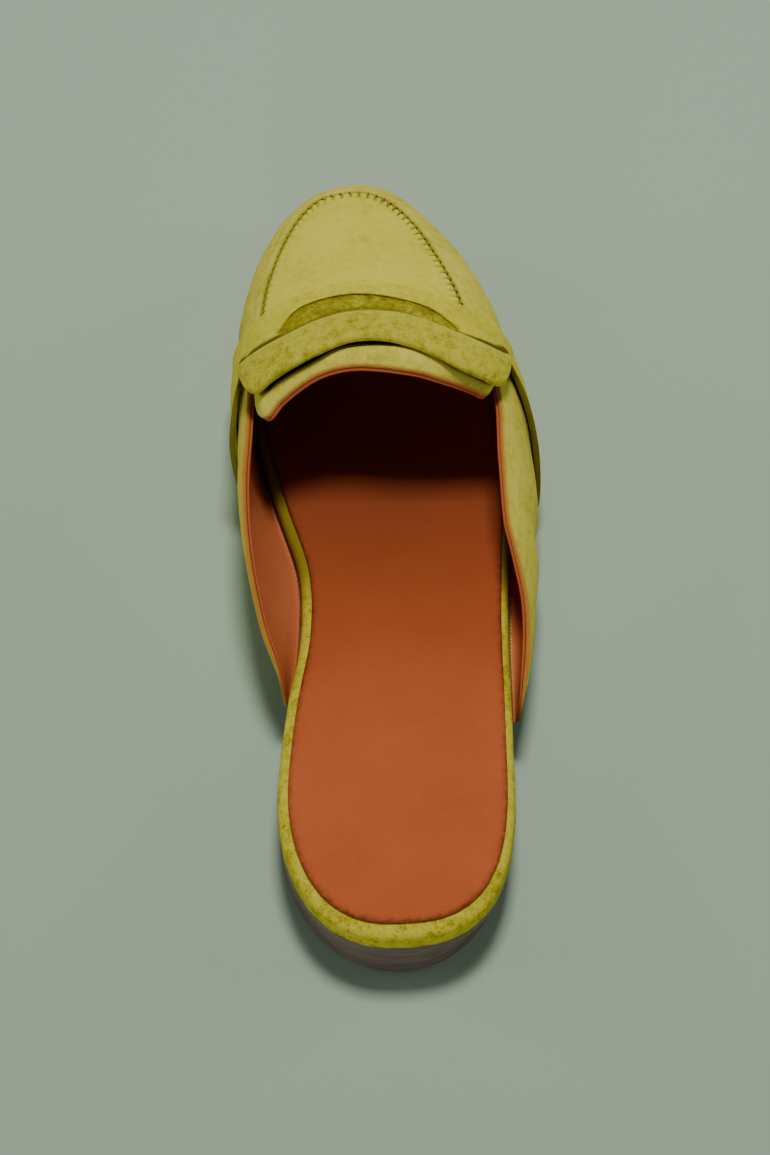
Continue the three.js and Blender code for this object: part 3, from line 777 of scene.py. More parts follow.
def shared_material(name):
    """The material of this name, made on first use."""
    if name in bpy.data.materials:
        return bpy.data.materials[name]
    c = colours()
    base, dark, light = c["suede"], c["suede_dark"], c["suede_light"]
    # shares of red, green and blue, matched for each piece and not measured from a real hide
    warm = (0.97, 0.98, 0.64)
    band = (0.74, 0.75, 0.5)
    rim = (0.86, 0.85, 0.45)
    makers = {
        # upper suede: edge is the lining's colour at the topline; groove is painted shade along the apron
        # seam
        "brushed_suede": lambda: suede(name, base, dark, light, edge=shaded(c["leather"], 0.75),
                                       groove=shaded(dark, 0.45)),
        # apron: edge is painted shade along the seam's edge and in the stitch dimples
        "apron_suede": lambda: suede(name, shaded(base, (1.03, 1.06, 0.88)), dark, light, nap=0.5,
                                     streak_turn=0.05, edge=shaded(dark, 0.6), rough=0.6),
        # saddle: edge is painted shade by the cheeks' rear edges; groove is painted shade round the band
        "saddle_suede": lambda: suede(name, shaded(base, warm), shaded(dark, warm), shaded(light, warm),
                                      nap=0.6, edge=shaded(dark, 0.36), groove=shaded(dark, 0.2)),
        # band: edge is a painted highlight on the front edge's rounding, over lighter nap; groove is painted
        # shade at the front edge and ends
        "band_suede": lambda: suede(name, shaded(base, band), shaded(dark, band), shaded(light, band),
                                    nap=0.8, streak_turn=0.9, edge=shaded(light, 0.85),
                                    groove=shaded(dark, 0.2), rough=1.7),
        # slot backing: edge is painted shade at the slot's rims and ahead of the band
        "rough_suede": lambda: suede(name, shaded(dark, (0.76, 0.8, 0.65)), shaded(dark, 0.45),
                                     shaded(base, (0.75, 0.78, 0.5)), nap=1.2,
                                     edge=shaded(dark, 0.35), rough=1.6),
        # tongue: edge is the raw edge's colour; groove is painted shade under the band's rear edge
        "tongue_suede": lambda: suede(name, base, dark, light, nap=0.5, edge=c["leather_raw"],
                                      groove=shaded(dark, 0.06)),
        # rim: edge is darker at the rim's bottom, and painted shade inside the shoe under the vamp
        "rim_suede": lambda: suede(name, shaded(base, rim), shaded(dark, rim), shaded(light, rim),
                                   nap=0.7, edge=shaded(dark, 0.6), rough=2.2),
        "vegetable_dyed_lining_leather": lambda: smooth_leather(name, shaded(c["leather"], (1.25, 1.7, 2.6)),
                                                                c["leather_dark"], c["leather_raw"]),
        # sock: darker at its edge for the burnished cut edge with painted shade of the gap beside it, and
        # painted shade growing towards the toe
        "vegetable_dyed_sock_leather": lambda: smooth_leather(name, shaded(c["leather"], 1.05),
                                                              c["leather_dark"], c["leather_raw"],
                                                              roughness=0.7),
        "moulded_sole_rubber": lambda: worn_rubber(name, c["sole"], c["sole_dark"], c["scuff"]),
        "stained_stacked_leather": lambda: worn_rubber(name, c["sole"], c["sole_dark"], c["scuff"],
                                                       roughness=0.55),
        "moulded_top_lift_rubber": lambda: worn_rubber(name, shaded(c["sole"], 0.85),
                                                       shaded(c["sole_dark"], 0.85), c["scuff"],
                                                       roughness=0.7),
        "waxed_linen_thread": lambda: waxed_thread(name, c["thread"], dark),
    }
    return makers[name]()


# ---- Upper ----
def quarter_start(side):
    """Where a side's topline comes down to the sole."""
    clear = 0.4
    y = np.linspace(TOPLINE[side]["y"][0], TOPLINE[side]["y"][3], 800)
    above = curve_through(TOPLINE[side], "z", y) - (sole_top(y) + GAP + clear)
    return y[np.flatnonzero(above > 0)[0]]


MARGIN_COLUMNS = 5  # of the upper's grid, where it turns in over the sole


def upper_grid(quarter_rows, vamp_rows, quarter_columns, vamp_columns, radius):
    """Grid over quarters and vamp: rows go forward, and columns from the medial feather line up to the
    topline, over the vamp and down again. Returns s, y, fullness, kept cells and distance from topline."""
    share = np.linspace(0, 1, quarter_rows + 1) ** 1.35
    ahead = edged(TOE - TOE_CAP - THROAT, radius, vamp_rows, end=False)
    vamp_y = THROAT + (TOE - TOE_CAP - THROAT) * (1 - (1 - ahead[0]) ** 1.6)[1:]
    sides = {}
    for side in ("medial", "lateral"):
        start = quarter_start(side)
        y = np.r_[start + (THROAT - start) * share, vamp_y]
        foot = solve_share(side, y, WALL, sole_top(y) + GAP)
        quarter = y <= THROAT
        height = np.where(quarter, curve_through(TOPLINE[side], "z", np.minimum(y, THROAT)), 0)
        edge = solve_share(side, np.minimum(y, THROAT), WALL / 2, height)
        edge = np.where(quarter, edge, edge[quarter_rows])
        edge = np.where(np.abs(edge) > np.abs(foot), foot, edge)
        width = np.abs(foot - edge) * girth(side, y)
        down, fullness = edged(np.maximum(width, 1e-6), radius, quarter_columns, end=False)
        s = edge[:, None] + (foot - edge)[:, None] * down
        margin = foot[:, None] + (np.sign(foot) - foot)[:, None] * np.linspace(0, 1, MARGIN_COLUMNS + 1)[1:]
        s = np.hstack([s, margin])
        fullness = np.r_[fullness, np.ones(MARGIN_COLUMNS)]
        below = np.abs(margin - edge[:, None]) * girth(side, y)[:, None]
        sides[side] = (s, np.repeat(y[:, None], s.shape[1], 1), fullness,
                       np.hstack([down * width[:, None], below]))
    m_s, m_y, fullness, m_down = sides["medial"]
    l_s, l_y, _, l_down = sides["lateral"]
    across = np.linspace(0, 1, vamp_columns + 1)[1:-1]
    over_s = m_s[:, :1] + (l_s[:, :1] - m_s[:, :1]) * across
    over_y = np.repeat(np.maximum(m_y, THROAT)[:, :1], len(across), 1)
    s = np.hstack([m_s[:, ::-1], over_s, l_s])
    y = np.hstack([m_y[:, ::-1], over_y, l_y])
    columns = np.r_[fullness[::-1], np.zeros(len(across)), fullness]
    rows = np.r_[np.zeros(quarter_rows), 0, ahead[1][1:]]
    full = np.maximum(columns[None], rows[:, None])
    keep = every_cell(s)
    count = m_s.shape[1]
    keep[:quarter_rows, count - 1:-(count - 1)] = False
    down = np.hstack([m_down[:, ::-1], np.full(over_s.shape, FAR), l_down])
    down = np.where(np.arange(len(rows))[:, None] > quarter_rows, FAR, down)
    return s, y, full, keep, down


def closed_toe(points, rows, columns):
    """The last row of each skin drawn together into one point, so that the toe closes."""
    skins = points.reshape(2, rows, columns, 3)
    skins[:, -1] = skins[:, -1].mean(axis=1, keepdims=True)
    return skins.reshape(-1, 3)


def build_upper():
    """Suede and lining, two closed sheets side by side in the wall. The suede sinks under the apron and rises
    beside the seam, and has the soft creases."""
    lining = sizes()["lining"]
    # name, inner and outer offset, material, slot, node replaced and numbers of rows and columns
    layers = (
        ("upper_suede", lining + 0.05, WALL, "brushed_suede", "suede_upper", ("upper",), (110, 100, 44, 150)),
        ("upper_lining", 0.0, lining, "vegetable_dyed_lining_leather", "lining_leather", (),
         (80, 50, 26, 60)),
    )
    thin, skive_length = 0.45, 16
    for name, inner, outer, material, slot, replaced, counts in layers:
        s, y, full, keep, down = upper_grid(*counts, (outer - inner) / 2)
        top = np.full(s.shape, outer)
        if replaced:
            inside = seam_distance(s, y)
            under = smooth(inside, -0.9, 0.7) * smooth(y, 178, 184)
            beside_seam = 0.4 * bump(inside + 2.6, 1.5)
            top += crease_relief(s, y) + handmade_relief(s, y, 0.35, 3) * smooth(down, 2, 12)
            top += beside_seam - (WALL - lining) * 0.95 * under
            # painted shade along the apron seam, on the upper just outside the apron's edge
            groove = 0.9 * bump(inside + 0.3, 1.0) * smooth(y, 184, 190)
        start = np.where(s < 0, quarter_start("medial"), quarter_start("lateral"))
        skived = thin + (1 - thin) * smooth(y, start, start + skive_length)
        base = last_point(s, y)
        normal = last_normal(s, y)
        middle = (inner + outer) / 2
        half = (outer - inner) / 2
        skins = [over_sole(base + normal * ((middle + half * full + top - outer) * skived)[..., None]),
                 over_sole(base + normal * ((middle - half * full) * skived)[..., None])]
        points = closed_toe(np.vstack([skin.reshape(-1, 3) for skin in skins]), *s.shape)
        edge = np.clip(bump(down, 0.7), 0, 1) * 0.8
        marks = {"edge": edge, "groove": groove} if replaced else {"edge": 0 * edge, "raw": bump(down, 0.9)}
        doubled = {key: np.tile(values.ravel(), 2) for key, values in marks.items()}
        make_piece(name, points, sheet_faces(keep), shared_material(material), slot, replaced, **doubled)


PLAIN_SEAM = (0.3, 0.41)  # shares between which the medial seam turns from stitched lip to plain groove


def build_apron():
    """Apron over the vamp: rays from a spine in its middle out to the seam, with a raised lip that the
    stitches pinch, and a little fullness inside it. On the medial side the seam sinks into a plain groove."""
    size_of = sizes()
    seam_s, seam_y, place, along = seam_path(520)
    spine_s, spine_start, spine_length = -0.02, 180, 44
    paired_y = (seam_y + seam_y[::-1]) / 2
    spine_y = spine_start + spine_length * np.tanh((paired_y - spine_start) / spine_length)
    reach = np.linalg.norm(place - last_point(np.full(len(seam_s), spine_s), spine_y), axis=1)
    out, fullness = edged(reach, 0.55, 60, start=False)
    s = (spine_s + (seam_s - spine_s)[:, None] * out).T
    y = (spine_y[:, None] + (seam_y - spine_y)[:, None] * out).T
    inward = ((1 - out) * reach[:, None]).T
    pitch = size_of["stitch_pitch"]
    from_stitch = np.abs((along + pitch / 2) % pitch - pitch / 2)
    drawn_in = smooth(-seam_s, *PLAIN_SEAM)[None]
    pinch = bump(from_stitch, 0.5)[None] * (1 - 0.7 * drawn_in)
    full_y = smooth(y, 184, 192)
    lip = size_of["seam_lip"] * bump(inward - 1.0, 0.8) * (1 - 0.75 * pinch)
    dimple = 0.45 * bump(inward - 1.9, 0.55) * pinch
    puff_height, puff_place = 0.55, 7
    puff = puff_height * (inward / puff_place) * np.exp(1 - inward / puff_place) * smooth(out.T, 0, 0.5)
    outer = WALL + (lip - dimple + puff) * full_y + handmade_relief(s, y, 0.3, 8) * full_y
    inner = np.full(s.shape, WALL - 0.85)
    keep = every_cell(s)
    # painted shade along the seam's edge, wider where it is a plain groove, and in the dimples the stitches
    # pinch
    edge = 0.8 * bump(inward, 0.6 + 0.6 * drawn_in) + 0.7 * bump(inward - 1.6, 0.7) * pinch
    edge = np.clip(edge, 0, 1) * full_y
    full = np.repeat(fullness[:, None], s.shape[1], 1)
    make_sheet("apron_suede", s, y, inner, outer, full, keep, shared_material("apron_suede"), "suede_upper",
               spine=True, edge=edge)


def build_stitches():
    """Hand stitches over the apron's lip: each a half ring of thread across the seam, thin at both ends
    where it goes into the suede."""
    size_of = sizes()
    seam_s, seam_y, place, along = seam_path(900)
    marks = np.arange(size_of["stitch_pitch"], along[-1], size_of["stitch_pitch"])
    marks = marks[np.interp(marks, along, seam_y) > 186]
    pick = np.clip(np.searchsorted(along, marks), 1, len(along) - 2)
    centre = place[pick]
    tangent = place[pick + 1] - place[pick - 1]
    tangent /= np.linalg.norm(tangent, axis=1, keepdims=True)
    normal = last_normal(seam_s[pick], seam_y[pick])
    inward = np.cross(tangent, normal)
    turn = np.linspace(0, np.pi, 9)
    inset, half_span = 0.55, 1.45
    sunk, over_lip, lean = 0.55, 0.62, 0.35
    reach = (inset + half_span * np.cos(turn))[None, :, None]
    height = (WALL - sunk + (over_lip + size_of["seam_lip"]) * np.sin(turn) ** 0.8)[None, :, None]
    slant = (lean * np.cos(turn))[None, :, None]
    line = centre[:, None] + inward[:, None] * reach + normal[:, None] * height + tangent[:, None] * slant
    around = np.linspace(0, 2 * np.pi, 7)
    radius = (size_of["thread"] / 2 * np.sqrt(np.clip(1 - np.cos(turn) ** 8, 0, 1)))[None, :, None, None]
    radius = radius * (1 - 0.55 * smooth(-seam_s[pick], *PLAIN_SEAM))[:, None, None, None]
    outward = (normal[:, None] * np.sin(turn)[None, :, None] + inward[:, None] * np.cos(turn)[None, :, None])
    ring = (tangent[:, None, None] * np.cos(around)[None, None, :, None]
            + outward[:, :, None] * np.sin(around)[None, None, :, None])
    points = (line[:, :, None] + ring * radius).reshape(-1, 3)
    one = grid_faces(len(turn), len(around), flip=True)
    faces = (one[None] + (np.arange(len(marks)) * len(turn) * len(around))[:, None, None]).reshape(-1, 4)
    make_piece("apron_stitches", points, faces, shared_material("waxed_linen_thread"), "thread")


def build_saddle():
    """Saddle across the vamp, down to the sole on each side, with a slot. Across it the sheet runs rear edge,
    slot, front edge. The front edge is skived thin, and the cheeks' rear edges stand off the quarters."""
    size_of = sizes()
    radius = size_of["saddle"] / 2
    s = np.linspace(SADDLE["s"][0], SADDLE["s"][-1], 250)
    rear = edge_at(SADDLE, "rear", s)
    front = edge_at(SADDLE, "front", s)
    inside = np.clip(s, SLOT["s"][0], SLOT["s"][-1])
    middle = (SLOT["s"][0] + SLOT["s"][-1]) / 2
    half = (SLOT["s"][-1] - SLOT["s"][0]) / 2
    open_share = np.sqrt(np.clip(1 - np.abs((inside - middle) / half) ** 14, 0, 1))
    slot_rear = edge_at(SLOT, "rear", inside)
    slot_front = edge_at(SLOT, "front", inside)
    slot_middle = (slot_rear + slot_front) / 2
    slot_half = (slot_front - slot_rear) / 2 * open_share
    at_rear = edge_at(SADDLE, "rear", inside)
    at_front = edge_at(SADDLE, "front", inside)
    first = (slot_middle - slot_half - at_rear) / (at_front - at_rear)
    second = (slot_middle + slot_half - at_rear) / (at_front - at_rear)
    width = front - rear
    behind, behind_full = edged(first * width, radius, 12)
    ahead, ahead_full = edged((1 - second) * width, radius, 16)
    u = np.vstack([(behind * first[:, None]).T, (second[:, None] + ahead * (1 - second)[:, None]).T])
    y = rear + width * u
    s_grid = np.repeat(s[None], len(u), 0)
    slotted = (np.abs(s - middle) < half)[None]
    outer_edge = np.r_[np.where(np.arange(len(behind_full)) < 6, behind_full, 1), ahead_full * 0 + 1]
    outer_edge[-EDGE_STEPS:] = ahead_full[-EDGE_STEPS:]
    everywhere = np.r_[behind_full, ahead_full]
    full = np.where(slotted, everywhere[:, None], outer_edge[:, None])
    keep = every_cell(y)
    row = len(behind_full) - 1
    keep[row] = ~(slotted[0, :-1] & slotted[0, 1:])
    from_front = front - y
    from_rear = y - rear
    inner = np.full(y.shape, WALL + GAP)
    thin = 0.45
    skive = thin + (1 - thin) * smooth(from_front, 2, 14)
    outer = inner + size_of["saddle"] * skive + handmade_relief(s_grid, y, 0.25, 5)
    cheek = smooth(np.abs(s_grid), 0.5, 0.56) * (1 - smooth(np.abs(s_grid), 0.62, 0.8))
    side_share = np.where(s_grid < 0, 0.65, 1.0)
    lift = size_of["cheek_lift"] * cheek * np.exp(-from_rear / 5.5) * side_share
    creases = crease_relief(s_grid, y)
    # painted shade on the cheeks by their rear edges, standing in for the gap where they stand off the
    # quarters
    edge = (1 - smooth(from_rear, 0.6, 1.6)) * smooth(np.abs(s_grid), 0.48, 0.54)
    # painted shade on the saddle ahead of the band and past its ends, as far as BAND_SHADE_AHEAD and
    # BAND_SHADE_BESIDE say
    band_front = edge_at(BAND, "front", s_grid)
    past_front = np.maximum(y - band_front - BAND_REACH, 0)
    past_end = np.maximum(np.maximum(BAND["s"][0] - s_grid, s_grid - BAND["s"][-1]) * BAND_GIRTH, 0)
    corner_ahead, corner_beside = BAND_SHADE_CORNERS
    ahead_of_band = 1 - smooth(past_front - corner_ahead * smooth(past_end, 0, 3), *BAND_SHADE_AHEAD)
    beyond_end = 1 - smooth(past_end - corner_beside * smooth(past_front, 0, 4), *BAND_SHADE_BESIDE)
    beside = smooth(np.abs(s_grid), 0.26, 0.32) * smooth(y, 157, 161)
    groove = 0.95 * ahead_of_band * beyond_end * beside
    creases += 0.5 * bump(past_front - 5.2, 1.8) * beside * (1 - smooth(past_end, 0, 2))
    make_sheet("saddle_suede", s_grid, y, inner + lift, outer + lift + creases, full, keep,
               shared_material("saddle_suede"), "suede_saddle", ("saddle",), edge=edge, groove=groove)


def build_slot_backing():
    """Rough, darker suede seen through the saddle's slot: a thin sheet just under the saddle."""
    s = np.linspace(SLOT["s"][0] - 0.04, SLOT["s"][-1] + 0.04, 110)
    inside = np.clip(s, SLOT["s"][0], SLOT["s"][-1])
    past_rear, past_front = 3, 2
    rear = edge_at(SLOT, "rear", inside) - past_rear
    front = edge_at(SLOT, "front", inside) + past_front
    u = np.linspace(0, 1, 26)[:, None]
    y = rear + (front - rear) * u
    s_grid = np.repeat(s[None], len(u), 0)
    inner = np.full(y.shape, WALL + 0.02)
    rough = handmade_relief(s_grid * 5, y * 5, 0.3, 21)
    outer = inner + 0.3 + rough * 0.4 + 0.5 * bump(y - (rear + front) / 2, 3.5)
    keep = every_cell(y)
    # painted shade at the slot's rims under the saddle's edges and along a line ahead of the band
    near = np.minimum(y - rear - past_rear, front - past_front - y)
    slot_shade = edge_at(BAND, "front", s) + BAND_SHADE_SLOT
    edge = 0.35 * bump(near, 1.2) + 0.7 * bump(y - slot_shade, 0.8) * (1 - smooth(s_grid, 0.05, 0.25))
    edge = np.clip(edge, 0, 1)
    make_sheet("slot_backing", s_grid, y, inner, outer, np.ones(y.shape), keep,
               shared_material("rough_suede"), "suede_saddle", edge=edge)


def build_band():
    """Raised band over the saddle: a thick strap with round edges and free round ends. Its thickness falls
    to under half at the front edge, as a quarter of a sine."""
    size_of = sizes()
    radius = size_of["band"] / 2
    length = (BAND["s"][-1] - BAND["s"][0]) * BAND_GIRTH
    share, end_full = edged(length, radius, 170)
    s = BAND["s"][0] + (BAND["s"][-1] - BAND["s"][0]) * share
    rear = edge_at(BAND, "rear", s)
    front = edge_at(BAND, "front", s) + BAND_REACH
    across, full_across = edged(front - rear, radius, 26)
    y = (rear[:, None] + (front - rear)[:, None] * across).T
    s_grid = np.repeat(s[None], y.shape[0], 0)
    full = full_across[:, None] * end_full[None]
    inner = np.full(y.shape, WALL + size_of["saddle"] + 2 * GAP)
    from_front = front - y
    crown = 0.5 * np.sin(np.pi * np.clip((y - rear) / (front - rear), 0, 1))
    thin, skive_length = 0.38, 4.5
    skive = thin + (1 - thin) * np.sin(np.pi / 2 * np.clip(from_front / skive_length, 0, 1))
    outer = inner + (size_of["band"] + 0.4) * skive + crown + handmade_relief(s_grid, y, 0.45, 12)
    outer += crease_relief(s_grid, y) * 0.5
    keep = every_cell(y)
    # painted highlight on the front edge's rounding, over lighter nap there
    edge = 0.6 * bump(from_front - 2.6, 1.6)
    from_end = np.minimum(s_grid - s[0], s[-1] - s_grid) * BAND_GIRTH
    # painted shade at the band's front edge and at its ends
    painted_rim_shade = np.maximum(bump(from_front - 0.45, 0.75) * (0.25 + 0.75 * smooth(np.abs(s_grid), 0.1, 0.24)),
                          bump(from_end - 0.2, 0.6))
    groove = 0.92 * painted_rim_shade
    make_sheet("instep_band_suede", s_grid, y, inner, outer, full, keep, shared_material("band_suede"),
               "suede_band", ("instep_band",), edge=edge, groove=groove)


def build_tongue():
    """Tongue under the band: suede over lining. Its rear edge turns down, and the lining's raw edge shows
    past the suede's. Behind the band it swells, less on the medial side, where it dips under the band."""
    total = sizes()["tongue"]
    bottom = 0.1
    lining = total * 0.3
    # name, inner and outer offset, how far the rear edge is set back, material, slot and node replaced
    layers = (
        ("tongue_suede", bottom + lining, bottom + total, 0.35, "tongue_suede", "suede_tongue", ("tongue",)),
        ("tongue_lining", bottom, bottom + lining - 0.05, 0.0, "vegetable_dyed_lining_leather",
         "lining_leather", ()),
    )
    for name, low, high, set_back, material, slot, replaced in layers:
        radius = (high - low) / 2
        length = (TONGUE["s"][-1] - TONGUE["s"][0]) * TONGUE_GIRTH
        share, end_full = edged(length, radius, 150)
        s = TONGUE["s"][0] + (TONGUE["s"][-1] - TONGUE["s"][0]) * share
        rear = edge_at(TONGUE, "rear", s)
        front = edge_at(TONGUE, "front", s)
        across, full_across = edged(front - rear - set_back, radius, 36, end=False)
        y = (rear[:, None] + set_back + (front - rear - set_back)[:, None] * across).T
        s_grid = np.repeat(s[None], y.shape[0], 0)
        full = full_across[:, None] * end_full[None]
        turned = 1.7 * np.exp(-(y - rear) / 2.6)
        wavy = handmade_relief(s_grid, y, 0.5, 31)
        band_rear = edge_at(BAND, "rear", s_grid)
        swollen = smooth(y - rear, 0, 4.5) * (1 - smooth(y, 161, 167))
        swollen *= (1 - smooth(-s_grid, 0.38, 0.47)) * (1 - smooth(s_grid, 0.43, 0.5))
        medial_part = smooth(s_grid, -0.43, -0.36) * (1 - smooth(s_grid, -0.2, -0.1))
        lateral_part = smooth(s_grid, 0.12, 0.28) * (1 - smooth(s_grid, 0.44, 0.5))
        notch = bump(y - band_rear - 3.0, 1.3) * medial_part
        lifted = wavy - turned + 2.1 * swollen - 1.8 * notch - 0.6 * smooth(-s_grid, 0.2, 0.4)
        lifted += 0.9 * lateral_part * smooth(y - rear, 0, 3) * (1 - smooth(y - band_rear, 0.8, 2.6))
        inner = low + lifted
        outer = high + lifted
        keep = every_cell(y)
        near = y - rear - set_back
        # painted shade on the tongue under the band's rear edge, as far as TONGUE_SHADE says
        under = np.interp(s_grid, TONGUE_SHADE["s"], TONGUE_SHADE["past"])
        groove = smooth(y - band_rear - under, -0.3, 0.3)
        marks = ({"edge": 0.75 * bump(near, 0.4), "groove": groove} if replaced
                 else {"edge": 0 * y, "raw": bump(near, 1.0)})
        make_sheet(name, s_grid, y, inner, outer, full, keep, shared_material(material), slot, replaced,
                   **marks)


# ---- Footbed, sock, outsole and heel ----
RING_STATIONS = 150


def stations_between(heel, toe, power=2.4):
    """Distances from the heel, crowding towards both ends as a superellipse of this power needs."""
    t = np.linspace(0, 1, RING_STATIONS + 1)
    return heel + (toe - heel) * t**power / (t**power + (1 - t) ** power)


def plan_loop(medial, lateral, y):
    """Plan outline: up the medial side and back down the lateral side, and its normals, which point in."""
    loop = np.vstack([np.stack([-medial, y], -1), np.stack([lateral, y], -1)[::-1]])
    step = np.roll(loop, -1, 0) - np.roll(loop, 1, 0)
    inward = np.stack([step[:, 1], -step[:, 0]], -1)
    inward /= np.maximum(np.linalg.norm(inward, axis=1, keepdims=True), 1e-9)
    for i, j in ((0, -1), (len(y) - 1, len(y))):
        if np.linalg.norm(loop[i] - loop[j]) < 0.01:
            shared = inward[i] + inward[j]
            inward[i] = inward[j] = shared / np.linalg.norm(shared)
    return loop, inward


def carried_profile(loop, inward, profile, bottom, top):
    """Rings round an outline. Each row of the profile says how far in from the outline, how far above
    (or, negative, below) the bottom or top surface, and which of the two, 0 or 1."""
    rings = []
    for draw, rise, anchor in profile:
        plan = loop + inward * draw
        level = top(plan[:, 1]) if anchor else bottom(plan[:, 1])
        rings.append(np.column_stack([plan, level + rise]))
    return np.stack(rings)


def capped(rings, across, top_relief=None):
    """Points and faces of a closed piece: rings up the side, a bottom and a top filled across, with the top
    moved up by a relief of x share and y."""
    count, around, _ = rings.shape
    half = around // 2
    walls = np.concatenate([rings, rings[:, :1]], 1)
    points = [walls.reshape(-1, 3)]
    faces = [grid_faces(count, around + 1, 0, flip=True)]
    start = count * (around + 1)
    share = np.linspace(0, 1, across + 1)[None, :, None]
    for ring, flip in ((rings[0], True), (rings[-1], False)):
        left = ring[:half][:, None]
        right = ring[half:][::-1][:, None]
        fill = left + (right - left) * share
        if not flip and top_relief is not None:
            fill[..., 2] += top_relief(share[..., 0], fill[..., 1])
        points.append(fill.reshape(-1, 3))
        faces.append(grid_faces(half, across + 1, start, flip))
        start += half * (across + 1)
    return np.vstack(points), np.vstack(faces)


def rounded_profile(bottom_radius, top_radius, depth, bulge=0.0):
    """Side of a board: in from depth along the bottom, round the lower edge, up, and round the upper edge."""
    turn = np.linspace(0, np.pi / 2, 7)
    rows = [(depth, 0.0, 0)]
    rows += [(bottom_radius * (1 - np.sin(a)), bottom_radius * (1 - np.cos(a)), 0) for a in turn]
    rows += [(-bulge, bottom_radius + 0.6, 0)] if bulge else []
    rows += [(top_radius * (1 - np.cos(a)), -top_radius * (1 - np.sin(a)), 1) for a in turn]
    rows += [(top_radius + 0.8, 0.0, 1), (depth, 0.0, 1)]
    return rows


def build_footbed():
    """Footbed board wrapped in suede: the profile of its side is carried round the footprint."""
    y = stations_between(HEEL_BACK, FOOTBED_TOE)
    inset = FOOTBED_INSET * closing(y, 225, FOOTBED_TOE, 2)
    widths = [np.maximum(half_width(side, y, HEEL_BACK, FOOTBED_TOE) - inset, 0)
              for side in ("medial", "lateral")]
    loop, inward = plan_loop(*widths, y)
    profile = rounded_profile(bottom_radius=0.9, top_radius=sizes()["rim_round"], depth=6.5, bulge=0.25)
    rings = carried_profile(loop, inward, profile, lambda at: sole_top(at) + GAP, board_top)
    draws = np.random.default_rng(17)
    along = np.arange(len(loop)) / len(loop) * 2 * np.pi
    pucker = sum(np.sin(k * along + draws.uniform(0, 6.3)) for k in (19, 31, 47, 64, 83)) / 5
    rings[2:-2, :, :2] += (inward * (0.12 * pucker)[:, None])[None]
    points, faces = capped(rings, 8)
    height = points[:, 2] - (sole_top(points[:, 1]) + GAP)
    # darker at the rim's bottom and a little above it, and painted shade inside the shoe under the vamp, from
    # 100 mm from the heel on
    edge = 0.7 * bump(height, 0.5) + 0.45 * bump(height - 3.0, 1.9) + smooth(points[:, 1], 100, 128)
    edge = np.clip(edge, 0, 1)
    make_piece("footbed_rim", points, faces, shared_material("rim_suede"), "suede_rim", ("footbed",),
               edge=edge)


def build_sock():
    """Leather sock on the footbed, drawn in from its edge, with a dished heel seat and soft flex creases."""
    toe = FEATHER_TOE - 5
    heel = HEEL_BACK + 4.2
    y = stations_between(heel, toe)
    inset = {"medial": 3.4, "lateral": 2.6}  # from the footbed's outline to the sock's edge
    ease = closing(y, 200, toe, 2) * closing(40 - y, 0, 40 - heel, 2)
    widths = [np.maximum(half_width(side, y, heel, toe) - inset[side] * ease, 0) for side in inset]
    loop, inward = plan_loop(*widths, y)
    thick = sizes()["sock"]
    profile = rounded_profile(bottom_radius=0.35, top_radius=0.9, depth=3.0)
    rings = carried_profile(loop, inward, profile,
                            lambda at: board_top(at) + 0.05, lambda at: board_top(at) + 0.05 + thick)

    def dish(share, at):
        """A parabola across, deeper at the heel seat and along three flex creases."""
        middle = 1 - (2 * share - 1) ** 2
        seat = smooth(at, 8, 40) * (1 - smooth(at, 62, 95))
        flex = sum(bump(at - place - 5 * (share - 0.5), 2.6) for place in (128, 139, 152))
        return middle * (-0.55 * seat - 0.25 - 0.14 * flex)

    points, faces = capped(rings, 40, dish)
    outline = rings[4, :, :2]
    gaps = np.full(len(points), FAR)
    for chunk in np.array_split(np.arange(len(points)), 8):
        gaps[chunk] = np.linalg.norm(points[chunk, None, :2] - outline[None], axis=2).min(1)
    # darker at the sock's edge, for its burnished cut edge and painted shade of the gap beside it
    edge = np.clip(bump(gaps, 1.1), 0, 1)
    # painted shade, growing towards the toe inside the shoe
    deep = smooth(points[:, 1], 40, 180)
    make_piece("sock_leather", points, faces, shared_material("vegetable_dyed_sock_leather"),
               "sock_leather", ("sock",), edge=edge, raw=np.zeros(len(points)), deep=deep)


def build_outsole():
    """Outsole: flush with the footbed round the heel, and out under the upper's wall in front of it."""
    heel = HEEL_BACK + 0.4
    toe = TOE + 1
    y = stations_between(heel, toe)
    ledge = (WALL + GAP) * smooth(y, 66, 96) - 0.4 * smooth(y, heel, 6)
    ease = closing(y, 225, toe, 2)
    widths = [np.maximum(half_width(side, y, heel, toe) + ledge * ease, 0) for side in ("medial", "lateral")]
    loop, inward = plan_loop(*widths, y)
    profile = rounded_profile(bottom_radius=0.5, top_radius=0.35, depth=6.0)
    rings = carried_profile(loop, inward, profile, lambda at: sole_top(at) - SOLE_THICK, sole_top)
    points, faces = capped(rings, 10)
    make_piece("outsole_rubber", points, faces, shared_material("moulded_sole_rubber"), "outsole_rubber",
               ("outsole",))


def heel_loop(z):
    """Outline of the heel at a height: round at the back and straight at the breast."""
    rear = HEEL_BACK + float(curve_through(HEEL_DRAW, "rear", z, "z"))
    t = np.linspace(0, 1, 61)
    y = rear + (HEEL_BREAST - rear) * t**2.2
    draw = closing(40 - y, 0, 40 - rear, 2)
    widths = []
    for side in ("medial", "lateral"):
        drawn_in = float(curve_through(HEEL_DRAW, side, z, "z")) * draw
        widths.append(np.maximum(half_width(side, y, rear, power=HEEL_BLOCK_ROUND) - drawn_in, 0))
    return plan_loop(*widths, y)


